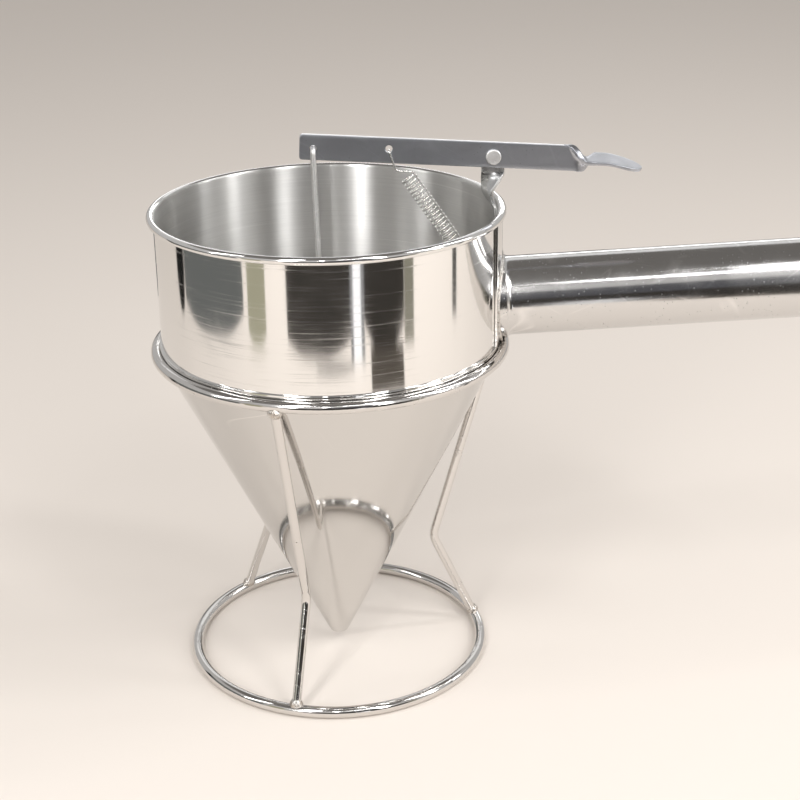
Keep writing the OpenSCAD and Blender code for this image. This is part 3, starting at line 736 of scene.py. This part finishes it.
# The lever gets a painted highlight along its top edge
LEVER = plated_finish("lever_plating", (0.47, 0.48, 0.515), (0.43, 0.44, 0.47), 0.28, 0.32, 0.06,
                      painted_top_highlight=True)
BRACKET = plated_finish("bracket_plating", (0.62, 0.62, 0.61), (0.55, 0.55, 0.55), 0.18, 0.26, 0.05)
RIVET = small_steel_finish("rivet_steel", (0.82, 0.81, 0.80), 0.40, 0.52, 500)
ROD = small_steel_finish("rod_steel", (0.76, 0.75, 0.73), 0.30, 0.35, 220, drawn=True)
PLUG = small_steel_finish("plug_steel", (0.68, 0.67, 0.65), 0.14, 0.26, 260)
SPRING = small_steel_finish("spring_steel", (0.78, 0.77, 0.74), 0.16, 0.24, 500)

WIRE_TREE = drawn_wire_tree()
WELD_TREE = weld_row_tree()


def placed(obj, body, slot, *nodes):
    """Says what the piece rides on and which nodes it stands for. The slot is not used."""
    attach(obj, body)
    if nodes:
        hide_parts(*nodes)
    return obj


# ---- Funnel ------------------------------------------------------------------

def bowl_wall():
    """Spun wall: its inside, the rolled rim, its outside and the folded hem."""
    curl = (INNER_R + BEAD_R, RIM_Z)
    inside = [(INNER_R, SEAT_Z + HEM_ROUND + WALL_RUN * i / WALL_STEPS) for i in range(WALL_STEPS)]
    over = arc(*curl, BEAD_R, 180, 180 - CURL_TURN, 56)
    under = arc(*curl, BEAD_R - SHEET, 180 - CURL_TURN, 180, 40)
    outside = [(BOWL_R, RIM_Z - 1 - (WALL_RUN - 1) * i / WALL_STEPS) for i in range(WALL_STEPS + 1)]
    fold = ([(BOWL_R, SEAT_Z + HEM_H + 0.1), (BOWL_R + 0.1, SEAT_Z + HEM_H)]
            + arc(HEM_R - FOLD_R, SEAT_Z + HEM_H - FOLD_R, FOLD_R, 90, 0, 4)
            + arc(HEM_MID_R, SEAT_Z + HEM_ROUND, HEM_ROUND, 0, -170, 16))
    outline = inside + over + under + outside + fold
    # The outside's finish starts just past the first turn of the rim and ends under the hem
    first_outside = len(inside) + RIM_TURN_STEPS
    last_inside = len(outline) - 3
    finish_of = lambda i: 1 if first_outside <= i < last_inside else 0
    obj = finished("bowl_wall", turned(outline, 288, finish_of=finish_of), [BOWL_INSIDE, BOWL_OUTSIDE])
    return placed(obj, "funnel", "bowl", "bowl_band")


def cone_shell():
    """Cone with its flange, which reaches up inside the wall, and its rounded lip."""
    edge = SHEET / 2

    def sheet_line(inset):
        across = inset / math.cos(CONE_TURN)
        back = FLANGE_BEND * math.tan(CONE_TURN / 2)
        low = (LIP_R + LIP_FLARE - across, OUTLET_Z + LIP_H)
        bend = arc(FLANGE_R - FLANGE_BEND, FLANGE_Z + back, FLANGE_BEND - inset,
                   -math.degrees(CONE_TURN), 0, 14)
        run = [(low[0] + (bend[0][0] - low[0]) * i / 10, low[1] + (bend[0][1] - low[1]) * i / 10)
               for i in range(10)]
        return [(LIP_R - inset, OUTLET_Z + edge), *run, *bend,
                (FLANGE_R - inset, SEAT_Z + FLANGE_LAP - edge)]
    outer, inner = sheet_line(0), sheet_line(SHEET)
    top = arc(FLANGE_R - edge, SEAT_Z + FLANGE_LAP - edge, edge, 0, 180, 6)[1:-1]
    lip = arc(LIP_R - edge, OUTLET_Z + edge, edge, 180, 360, 6)[1:-1]
    outline = outer + top + inner[::-1] + lip
    first_inside = len(outer) + len(top)
    finish_of = lambda i: 1 if first_inside <= i < first_inside + len(inner) else 0
    obj = finished("cone_shell", turned(outline, 288, finish_of=finish_of), [CONE_OUTSIDE, CONE_INSIDE], 50)
    return placed(obj, "funnel", "cone", "cone")


# ---- Handle ------------------------------------------------------------------

ON_HANDLE = Matrix.Translation((BOWL_R, 0, HANDLE_Z)) @ Matrix.Rotation(math.pi / 2 - HANDLE_RISE, 4, "Y")


def plate():
    """Stiffening plate behind the handle, curved to the wall, its edges broken."""
    low, high = SEAT_Z + HEM_H + 0.2, RIM_Z - BEAD_R - 0.2
    inner, outer = BOWL_R + 0.05, BOWL_R + 0.05 + PLATE_T
    bm = bmesh.new()
    rows = []
    for i in range(65):
        a = PLATE_HALF * (i / 32 - 1)
        rows.append([bm.verts.new((r * math.cos(a), r * math.sin(a), z))
                     for r, z in ((inner, low), (outer, low), (outer, high), (inner, high))])
    for one, two in zip(rows, rows[1:]):
        for j in range(4):
            k = (j + 1) % 4
            bm.faces.new((one[j], one[k], two[k], two[j]))
    bm.faces.new(rows[0])
    bm.faces.new(rows[-1][::-1])
    bmesh.ops.recalc_face_normals(bm, faces=bm.faces)
    sharp = [e for e in bm.edges if e.calc_face_angle(0) > 1]
    bmesh.ops.bevel(bm, geom=sharp, offset=0.3, segments=3, affect="EDGES", profile=0.5)
    return placed(finished("wall_plate", bm, [BOWL_OUTSIDE]), "funnel", "bowl", "handle_plate")


def handle_cap():
    """Domed end, pressed into the tube."""
    dome_r = (HANDLE_R ** 2 + DOME_H ** 2) / (2 * DOME_H)
    edge = math.degrees(math.asin(HANDLE_R / dome_r))
    dome = arc(0, CAP_RIM + DOME_H - dome_r, dome_r, 90 - edge, 90, 28)
    skirt = HANDLE_R - HANDLE_WALL - 0.05
    outline = [(0, 0.1), (skirt - 1.2, 0.1), (skirt - 1.2, -8), (skirt, -8), (skirt, 0.05),
               (HANDLE_R - 0.2, 0.05), (HANDLE_R, 0.25), (HANDLE_R, CAP_RIM - 0.3),
               (HANDLE_R - 0.08, CAP_RIM), *dome[1:]]
    bm = turned(outline, 160, ON_HANDLE @ Matrix.Translation((0, 0, HANDLE_LEN)))
    return placed(finished("handle_cap", bm, [HANDLE], 50), "funnel", "handle", "handle_end_cap")


def root_weld():
    """Row of beads where the handle's flared root meets the plate."""
    points = []
    bead_r = ROOT_R + 0.75
    for i in range(121):
        a = math.radians(24 + 312 * i / 120)
        x, y = bead_r * math.cos(a), bead_r * math.sin(a)
        on_plate = math.sqrt((PLATE_R + 0.1) ** 2 - y * y)
        t = (on_plate - BOWL_R - x * math.sin(HANDLE_RISE)) / math.cos(HANDLE_RISE)
        points.append(ON_HANDLE @ Vector((x, y, t)))
    path = path_curve("root_seam", points)
    obj = grown("root_weld", WELD_TREE, path, WELD, 80, Bead=0.85 * MM, Pitch=0.62 * MM, Height=0.85,
                Seed=4)
    return placed(obj, "funnel", "weld", "handle_weld")


# ---- Bracket, rivet and lever ------------------------------------------------

LYING = Matrix.Rotation(math.pi / 2, 4, "X")


def bracket():
    """Twisted bracket: round ear at the pivot, neck, foot flat on the wall, hooked tab."""
    ear, half = BRACKET_W / 2, math.pi / 2
    neck_width = 1 - math.cos(NECK_TWIST)

    def twist(z):
        if z > NECK_Z:
            share = min(max((TWIST_TOP - z) / (TWIST_TOP - NECK_Z), 0), 1)
            return math.acos(1 - neck_width * share)
        return NECK_TWIST + (half - NECK_TWIST) * soft((NECK_Z - z) / (NECK_Z - FOOT_TOP))

    def line(u):
        """Middle line, u down from the top of the ear: x, z and the way that is up."""
        z = PIVOT.z + ear - u
        if z > NECK_Z:
            return PIVOT.x - (PIVOT.x - NECK_X) * (1 - math.cos(twist(z))) / neck_width, z
        if z > FOOT_LOW:
            return NECK_X + (FOOT_X - NECK_X) * soft((NECK_Z - z) / (NECK_Z - FOOT_TOP)), z
        past = FOOT_LOW - z
        turn = min(past / BRACKET_T, TAB_TURN)
        x, low = FOOT_X - BRACKET_T * (1 - math.cos(turn)), FOOT_LOW - BRACKET_T * math.sin(turn)
        straight = past - BRACKET_T * turn
        return x - straight * math.sin(turn), low - straight * math.cos(turn)

    def middle(u, v):
        x, z = line(u)
        turn = twist(PIVOT.z + ear - u)
        return Vector((x + v * math.cos(turn), -v * math.sin(turn), z))

    end = PIVOT.z + ear - FOOT_LOW + BRACKET_T * TAB_TURN + TAB_LEN - 0.05

    def width(u):
        if u < ear:
            return 2 * math.sqrt(max(ear * ear - (ear - u) ** 2, 0.3))
        left = end - u
        if left < TAB_LEN / 2:
            full = BRACKET_W + (TAB_END_W - BRACKET_W) * (1 - 2 * left / TAB_LEN)
            return full - (2 * (1 - math.sqrt(max(1 - (1 - left) ** 2, 0))) if left < 1 else 0)
        return BRACKET_W
    along = ([ear * (1 - math.cos(math.radians(a))) for a in range(8, 90, 6)]
             + [ear + (end - ear) * i / 150 for i in range(150)] + [end - 0.6, end - 0.3, end - 0.1, end])
    along = sorted(along)
    tab_way = Vector((math.cos(TAB_TURN), 0, -math.sin(TAB_TURN)))
    holes = [(PIVOT, Vector((0, 1, 0)), RIVET_D + 0.05), (TAB_HOLE, tab_way, HOLE_D)]
    strip = pressed_strip(middle, along, width, lambda u: BRACKET_T, 0.3)
    return placed(drilled("twisted_bracket", strip, holes, [BRACKET]), "funnel", "lever", "pivot_bracket")


def rivet():
    """Rivet: domed head with a pressed ring, shank, and the closed end behind."""
    back, front = BRACKET_T / 2 + SNUG, LEVER_Y - LEVER_T / 2 - SNUG
    r, tail = RIVET_HEAD_R, RIVET_TAIL_R
    low, tip = -back - RIVET_TAIL_H, -front + RIVET_HEAD_H
    outline = [(0, low), (tail - 0.6, low), (tail - 0.2, low + 0.2), (tail, low + 0.5), (tail, -back),
               (RIVET_D / 2, -back), (RIVET_D / 2, -front), (r - 0.1, -front), (r, -front + 0.15),
               (r, tip - 0.4), (r - 0.12, tip - 0.15), (r - 0.35, tip - 0.02), (r - 0.6, tip),
               (r - 0.75, tip - 0.04), (r - 0.9, tip - 0.05), (r - 1.1, tip - 0.01),
               (r - 1.6, tip), (0, tip)]
    head = turned(outline, 72, Matrix.Translation((PIVOT.x, 0, PIVOT.z)) @ LYING)
    return placed(finished("rivet", head, [RIVET], 60), "funnel", "rivet", "pivot_rivet")


def washer():
    """Thin washer with broken edges between the lever and the bracket."""
    hole, rim, t, e = RIVET_D / 2 + 0.06, WASHER_R, WASHER_T, 0.1
    outline = [(hole, e), (hole + e, 0), (rim - e, 0), (rim, e),
               (rim, t - e), (rim - e, t), (hole + e, t), (hole, t - e)]
    disc = turned(outline, 72, Matrix.Translation((PIVOT.x, -BRACKET_T / 2 - SNUG, PIVOT.z)) @ LYING)
    return placed(finished("washer", disc, [RIVET]), "funnel", "rivet", "pivot_washer")


def lever():
    """Flat strip, its far end twisted a quarter turn into a drooping thumb pad."""
    def line(u):
        if u < DROOP_AT - DROOP_SOFT:
            fall = 0
        elif u < DROOP_AT + DROOP_SOFT:
            fall = (u - DROOP_AT + DROOP_SOFT) ** 2 / (4 * DROOP_SOFT)
        else:
            fall = u - DROOP_AT
        return LEVER_LIFT - PAD_DROOP * fall

    def width(u):
        if u < TAIL_CORNER - LEVER_TAIL:
            back = TAIL_CORNER - LEVER_TAIL - u
            return LEVER_W - 2 * (TAIL_CORNER - math.sqrt(max(TAIL_CORNER ** 2 - back * back, 0)))
        full = LEVER_W + (PAD_W - LEVER_W) * soft((u - TWIST_AT) / TWIST_LEN)
        past = (u - PAD_REACH + PAD_TAPER) / PAD_TAPER
        return full if past <= 0 else max(full * math.sqrt(max(1 - past * past, 0)), 0.8)

    def thick(u):
        return LEVER_T + (PAD_T - LEVER_T) * soft((u - TWIST_AT - 3) / TWIST_LEN)

    def middle(u, v):
        turn = PAD_TWIST * soft((u - TWIST_AT + TWIST_SKEW * v) / TWIST_LEN)
        return Vector((u, -v * math.sin(turn), line(u) + v * math.cos(turn)))
    tail = [TAIL_CORNER * (1 - math.cos(math.radians(a))) - LEVER_TAIL for a in range(0, 91, 15)]
    run = [-70, -60, -50, -40, -30, -20, -10, 0, 10, 20, 27]
    pad = [28 + (PAD_REACH - 28) * (1 - (1 - i / 110) ** 1.4) for i in range(111)]
    place = Matrix.Translation((PIVOT.x, LEVER_Y, PIVOT.z)) @ Matrix.Rotation(LEVER_SLOPE, 4, "Y")
    across = Vector((0, 1, 0))
    holes = [(Vector((PIVOT.x, LEVER_Y, PIVOT.z)), across, RIVET_D + 0.12), (ROD_HOLE, across, ROD_HOLE_D),
             (SPRING_HOLE, across, HOLE_D)]
    strip = pressed_strip(middle, tail + run + pad, width, thick, 0.28, place)
    return placed(drilled("thumb_lever", strip, holes, [LEVER]), "lever", "lever", "lever")


# ---- Stopper -----------------------------------------------------------------

def stopper():
    """Rod hooked through the lever, and the turned stopper that it carries."""
    corner = Vector((ROD_HOLE.x, ROD_Y, ROD_HOLE.z))
    foot = Vector((0, 0, PLUG_LOW + 1))
    line = bent(Vector((ROD_HOLE.x, ROD_BACK, ROD_HOLE.z)), corner, foot, ROD_BEND)
    placed(wire("hooked_rod", line, ROD, ROD_D, 32, rounded=True), "stopper", "rod", "stopper_rod")

    def inside(z):
        """Radius of the cone's inside at this height, less a small gap."""
        return (LIP_R + LIP_FLARE + (z - OUTLET_Z - LIP_H) * math.tan(CONE_TURN)
                - (SHEET + PLUG_GAP) / math.cos(CONE_TURN))
    seat_top = PLUG_LOW + PLUG_SEAT_H
    foot_r, wide_r, neck_r = inside(PLUG_LOW), inside(seat_top), PLUG_NECK_R
    hollow = wide_r - neck_r
    top = seat_top + 0.8 + hollow
    outline = [(0, PLUG_LOW), (foot_r - 0.3, PLUG_LOW), (foot_r, PLUG_LOW + 0.25),
               (wide_r - 0.05, seat_top - 0.15), (wide_r, seat_top + 0.1), (wide_r, seat_top + 0.6),
               (wide_r - 0.1, seat_top + 0.75), *arc(wide_r, top, hollow, 266, 183, 14),
               (neck_r, top - 0.05), (neck_r - 0.15, top), (0, top)]
    plug = finished("stopper_seat", turned(outline, 96), [PLUG], 40)
    return placed(plug, "stopper", "rod", "stopper_plug")


# ---- Return spring -----------------------------------------------------------

def spring():
    """Close coil in one wire, from the hook in the lever to the hook in the tab."""
    lever_front, lever_back = LEVER_Y - LEVER_T / 2, LEVER_Y + LEVER_T / 2
    wire_front = lever_front - HOOK_GAP - SPRING_WIRE / 2
    wire_back = lever_back + HOOK_GAP + SPRING_WIRE / 2
    hang = SPRING_HOLE.z - HOLE_D / 2 + SPRING_WIRE / 2 + HOOK_GAP
    start = SPRING_HOLE + Vector((HOOK_OUT, 0, -HOOK_DROP))
    axis = (TAB_HOLE - Vector((0, 0, AIM_LOW)) - start).normalized()
    length = (TAB_HOLE - start).length - HOOK_LEN
    side = axis.cross(Vector((0, -1, 0))).normalized()
    front = side.cross(axis)

    def coil(turn):
        a = math.tau * (turn - 0.25)
        out = math.cos(a) * front + math.sin(a) * side
        return start + axis * (length * turn / CURLS) + COIL_R * out

    def eased(corners, r):
        out = [corners[0]]
        for before, p, after in zip(corners, corners[1:], corners[2:]):
            a = p + (before - p).normalized() * min(r, (before - p).length / 2.1)
            b = p + (after - p).normalized() * min(r, (after - p).length / 2.1)
            out += [a * (1 - s) ** 2 + p * 2 * s * (1 - s) + b * s * s for s in (k / 8 for k in range(9))]
        return out + [corners[-1]]

    coils = [coil(i / COIL_STEPS) for i in range(CURLS * COIL_STEPS + 1)]
    x = SPRING_HOLE.x
    knee = Vector((x + 2.8, wire_front, SPRING_HOLE.z - 9))
    top_hook = [Vector((x, wire_back, hang - HOOK_TAIL)), Vector((x, wire_back, hang)),
                Vector((x, wire_front, hang)), knee, coils[0] - Vector((1.4, 0.1, -0.15)),
                coils[0], coils[2]]
    tab_way = Vector((-math.sin(TAB_TURN), 0, -math.cos(TAB_TURN)))
    tab_side = Vector((math.cos(TAB_TURN), 0, -math.sin(TAB_TURN)))
    through = HOOK_GAP + (BRACKET_T + SPRING_WIRE) / 2
    low_hook = [coils[-1], coils[-1] + axis * 1.6, start + axis * (length + HOOK_LEN * 0.45),
                TAB_HOLE - tab_side * through - tab_way * HOOK_STAND,
                TAB_HOLE + tab_side * through - tab_way * HOOK_STAND,
                TAB_HOLE + tab_side * through - tab_way * (HOOK_STAND + HOOK_TAIL)]
    points = eased(top_hook, HOOK_BEND)[:-1] + coils[2:] + eased(low_hook, HOOK_BEND)[1:]
    obj = wire("coil_spring", points, SPRING, SPRING_WIRE, 12, rounded=True)
    return placed(obj, "funnel", "spring", "return_spring")


# ---- Stand -------------------------------------------------------------------

def stand():
    """Two wire rings, three bent legs, and the weld beads between them."""
    for name, r, z in (("top_ring", RING_R, RING_Z), ("base_ring", BASE_R, BASE_Z)):
        loop = [(r * math.cos(math.tau * i / 256), r * math.sin(math.tau * i / 256), z) for i in range(256)]
        ring = wire(name + "_wire", loop, STAND_WIRE, RING_WIRE, 40, closed=True)
        placed(ring, "stand", "ring_wire", name)
    for i, name in enumerate(("leg_front", "leg_right", "leg_back")):
        turn = Matrix.Rotation(math.radians(STAND_TURN + 120 * i), 3, "Z")
        line = [turn @ p for p in bent(LEG_HEAD, KNEE, LEG_FOOT, KNEE_BEND, 24)]
        placed(wire(name + "_wire", line, STAND_WIRE, LEG_WIRE, 36), "stand", "ring_wire", name)
    for name, end, z in (("ring_welds", LEG_HEAD, RING_Z), ("foot_welds", LEG_FOOT, BASE_Z)):
        bm = bmesh.new()
        for i in range(3):
            way = (KNEE - end).normalized()
            at = end + way * (STAND_BEAD_R - (z - end.z)) + Vector((0.3, 0, 0))
            turn = Matrix.Rotation(math.radians(STAND_TURN + 120 * i), 4, "Z")
            ball = bmesh.ops.create_icosphere(bm, subdivisions=5, radius=1, matrix=Matrix.Identity(4))
            for v in ball["verts"]:
                lump = noise.fractal(v.co * 1.7 + Vector((7 * i, end.z, 0)), 0.9, 2.0, 3)
                size = STAND_BEAD_R * (0.96 + 0.10 * lump)
                v.co = turn @ (at + Vector((v.co.x * size, v.co.y * size * 1.12, v.co.z * size)))
        placed(finished(name + "_beads", bm, [WELD], 80), "stand", "weld", name)


bowl_wall()
cone_shell()
plate()
handle_cap()
root_weld()
bracket()
rivet()
washer()
lever()
stopper()
spring()
stand()

for node, finish in (("handle_tube", HANDLE), ("bracket_welds", WELD)):
    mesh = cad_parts[node].data
    mesh.materials.clear()
    mesh.materials.append(finish)

# ---- Studio ------------------------------------------------------------------

FLOOR_COLOUR = (0.78, 0.715, 0.655, 1)
FLOOR_HALF = 7.0


def floor():
    """Plain pale floor."""
    made = bpy.data.materials.new("pale_floor")
    made.use_nodes = True
    w = Wiring(made.node_tree)
    shader = made.node_tree.nodes["Principled BSDF"].inputs
    shader["Roughness"].default_value = 0.85
    shader["Specular IOR Level"].default_value = 0.2
    at = w.node("TexCoord").outputs["Object"]
    tinted(w, shader, FLOOR_COLOUR, (w.noise(at, 1.6, 2.0), 1.0, shaded(FLOOR_COLOUR, 0.985)))
    mesh = bpy.data.meshes.new("floor")
    s = FLOOR_HALF
    mesh.from_pydata([(-s, -s, 0), (s, -s, 0), (s, s, 0), (-s, s, 0)], [], [(0, 1, 2, 3)])
    mesh.materials.append(made)
    obj = bpy.data.objects.new("floor", mesh)
    scene.collection.objects.link(obj)


def around(azimuth, radius, height):
    """A place around the object: the azimuth is in degrees from the front towards the handle."""
    a = math.radians(azimuth)
    return Vector((radius * math.sin(a), -radius * math.cos(a), height))


BOWL_MIDDLE = Vector((0.04, 0, 0.17))
ROOM_COLOUR = (0.94, 0.925, 0.91, 1)
ROOM_STRENGTH = 0.57

# Soft boxes: name, place, width, height and power
LAMPS = (
    ("handle_strip", Vector((0.40, -1.12, 1.35)), 0.44, 0.08, 1.0),
    ("right_front_box", around(35, 1.2, 1.0), 0.19, 1.2, 7),
    ("left_front_box", around(-23, 1.2, 1.0), 0.22, 1.2, 9),
    ("middle_box", around(-1.5, 1.2, 0.8), 0.05, 0.6, 1.0),
    ("right_box", around(74, 1.2, 0.95), 0.15, 1.1, 6),
    ("right_back_box", around(100, 1.2, 0.95), 0.10, 1.0, 3),
    ("left_box", around(-71, 1.2, 0.95), 0.07, 1.1, 3),
)

# Flat cards behind the object: name, left, right, distance, lower and upper edge, brightness
BACK_CARDS = (
    ("back_high", -1.2, 1.2, 2.0, 1.2, 1.95, 1.0),
    ("back_low", -0.5, 0.9, 2.3, 0.62, 0.94, 3.0),
)

# Upright cards on an arc: name, from and to azimuth, radius, lower and upper edge, shade, and how
# much the lower edge rises towards the ends
ROUND_CARDS = (
    ("dark_back", 160, 186, 0.50, 0.01, 0.20, (0.06, 0.055, 0.05), 0.02),
    ("grey_back", 192, 209, 0.50, 0.01, 0.20, (0.17, 0.17, 0.165), 0.02),
    ("dark_front", -22.8, 15, 0.50, 0.005, 0.20, (0.05, 0.045, 0.04), 0.012),
    ("dark_front_right", 23.5, 48.8, 0.50, 0.008, 0.20, (0.045, 0.04, 0.035), 0.02),
    ("front_streak", 15, 16.7, 0.50, 0.0, 0.085, (0.3, 0.297, 0.3), 0),
    ("front_streak", 16.7, 21.5, 0.50, 0.0, 0.085, (1.3, 1.287, 1.3), 0),
    ("front_streak", 21.5, 23.5, 0.50, 0.0, 0.085, (0.3, 0.297, 0.3), 0),
    ("dark_above", 14, 25, 0.505, 0.085, 0.20, (0.05, 0.045, 0.04), 0),
    ("grey_left", -98.5, -50.8, 0.50, 0.012, 0.20, (0.15, 0.155, 0.15), 0.02),
    ("dark_left_edge", -107, -99, 0.50, 0.02, 0.20, (0.01, 0.01, 0.01), 0.03),
    ("straw_left", -47.9, -36, 0.50, 0.01, 0.22, (0.42, 0.40, 0.29), 0.01),
    ("straw_right", 49, 55.4, 0.50, 0.01, 0.20, (0.28, 0.265, 0.21), 0),
    ("right_edge", 85.4, 89, 0.50, 0.02, 0.20, (0.10, 0.095, 0.09), 0),
    ("room_front", -3, 28, 0.80, 0.02, 0.52, (0.10, 0.10, 0.11), 0),
    ("pale_strip", -80, 80, 1.4, 0.85, 1.2, (0.6, 0.59, 0.58), 0),
)


def lamp(name, place, width, height, power):
    """Soft box, turned towards the bowl."""
    data = bpy.data.lights.new(name, "AREA")
    data.shape, data.size, data.size_y = "RECTANGLE", width, height
    data.energy = power
    obj = bpy.data.objects.new(name, data)
    obj.location = place
    obj.rotation_euler = (BOWL_MIDDLE - place).to_track_quat("-Z", "Y").to_euler()
    obj.visible_camera = False
    scene.collection.objects.link(obj)


def flag(name, grid, shade):
    """Card that only shows in polished metal, where it breaks up the even light of the room."""
    made = bpy.data.materials.new(name)
    made.use_nodes = True
    w = Wiring(made.node_tree)
    w.tree.nodes.clear()
    w.node("OutputMaterial", {"Surface": w.node("Emission", {"Color": (*shade, 1)}).outputs[0]})
    wide = len(grid[0])
    mesh = bpy.data.meshes.new(name)
    faces = [(i * wide + j, i * wide + j + 1, (i + 1) * wide + j + 1, (i + 1) * wide + j)
             for i in range(len(grid) - 1) for j in range(wide - 1)]
    mesh.from_pydata([p for row in grid for p in row], [], faces)
    mesh.materials.append(made)
    obj = bpy.data.objects.new(name, mesh)
    obj.visible_camera = obj.visible_diffuse = obj.visible_shadow = False
    obj.visible_transmission = obj.visible_volume_scatter = False
    scene.collection.objects.link(obj)


def round_card(name, start, stop, radius, low, high, shade, lift):
    """Upright card on an arc."""
    rows = [[], []]
    for i in range(33):
        share = i / 32
        edge = low + lift * abs(2 * share - 1) ** 3
        for row, height in zip(rows, (edge, high)):
            row.append(around(start + (stop - start) * share, radius, height))
    flag(name, rows, shade)


def floor_cards():
    """Low cards that stand for darker patches of the table in front."""
    right = [[around(a, r, 0.003) for a in range(27, 49)] for r in (0.43, 0.52)]
    flag("low_right", right, (0.10, 0.085, 0.07))
    front = [[around(5.2 + 12 * x / 8, 0.482 + side * 0.009 * math.sqrt(1 - x * x / 64), 0.003)
              for x in range(-8, 9)] for side in (-1, 1)]
    flag("low_front", front, (0.16, 0.155, 0.15))


def studio():
    """Even pale room, soft boxes high in front, and dark cards that give the metal its contrast."""
    world = bpy.data.worlds.new("room")
    world.use_nodes = True
    back = world.node_tree.nodes["Background"].inputs
    back["Color"].default_value = ROOM_COLOUR
    back["Strength"].default_value = ROOM_STRENGTH
    scene.world = world
    for values in LAMPS:
        lamp(*values)
    for name, left, right, y, low, high, shade in BACK_CARDS:
        flag(name, [[Vector((x, y, z)) for x in (left, right)] for z in (low, high)], (shade, shade, shade))
    for values in ROUND_CARDS:
        round_card(*values)
    floor_cards()
    ceiling = [[around(a, r, 1.75) for a in range(-180, 181, 15)] for r in (0.001, 1.8)]
    flag("ceiling", ceiling, (0.19, 0.18, 0.17))


CAMERA_PLACE = Vector((0.0336034, -0.6411911, 0.3844176))
CAMERA_YAW = -0.006346
CAMERA_PITCH = 0.391335
CAMERA_ROLL = -0.012502
CAMERA_LENS = 1582.503 / 800 * 36


def camera():
    """Camera at the photograph's place."""
    yaw, pitch, roll = CAMERA_YAW, CAMERA_PITCH, CAMERA_ROLL
    forward = Vector((math.sin(yaw) * math.cos(pitch), math.cos(yaw) * math.cos(pitch), -math.sin(pitch)))
    level = Vector((math.cos(yaw), -math.sin(yaw), 0))
    above = level.cross(forward)
    right = math.cos(roll) * level + math.sin(roll) * above
    up = -math.sin(roll) * level + math.cos(roll) * above
    data = bpy.data.cameras.new("camera")
    data.sensor_width = 36
    data.lens = CAMERA_LENS
    data.clip_start = 0.01
    obj = bpy.data.objects.new("camera", data)
    turn = Matrix((right, up, -forward)).transposed().to_4x4()
    obj.matrix_world = Matrix.Translation(CAMERA_PLACE) @ turn
    scene.collection.objects.link(obj)
    scene.camera = obj


floor()
studio()
camera()
scene.view_settings.view_transform = "Standard"
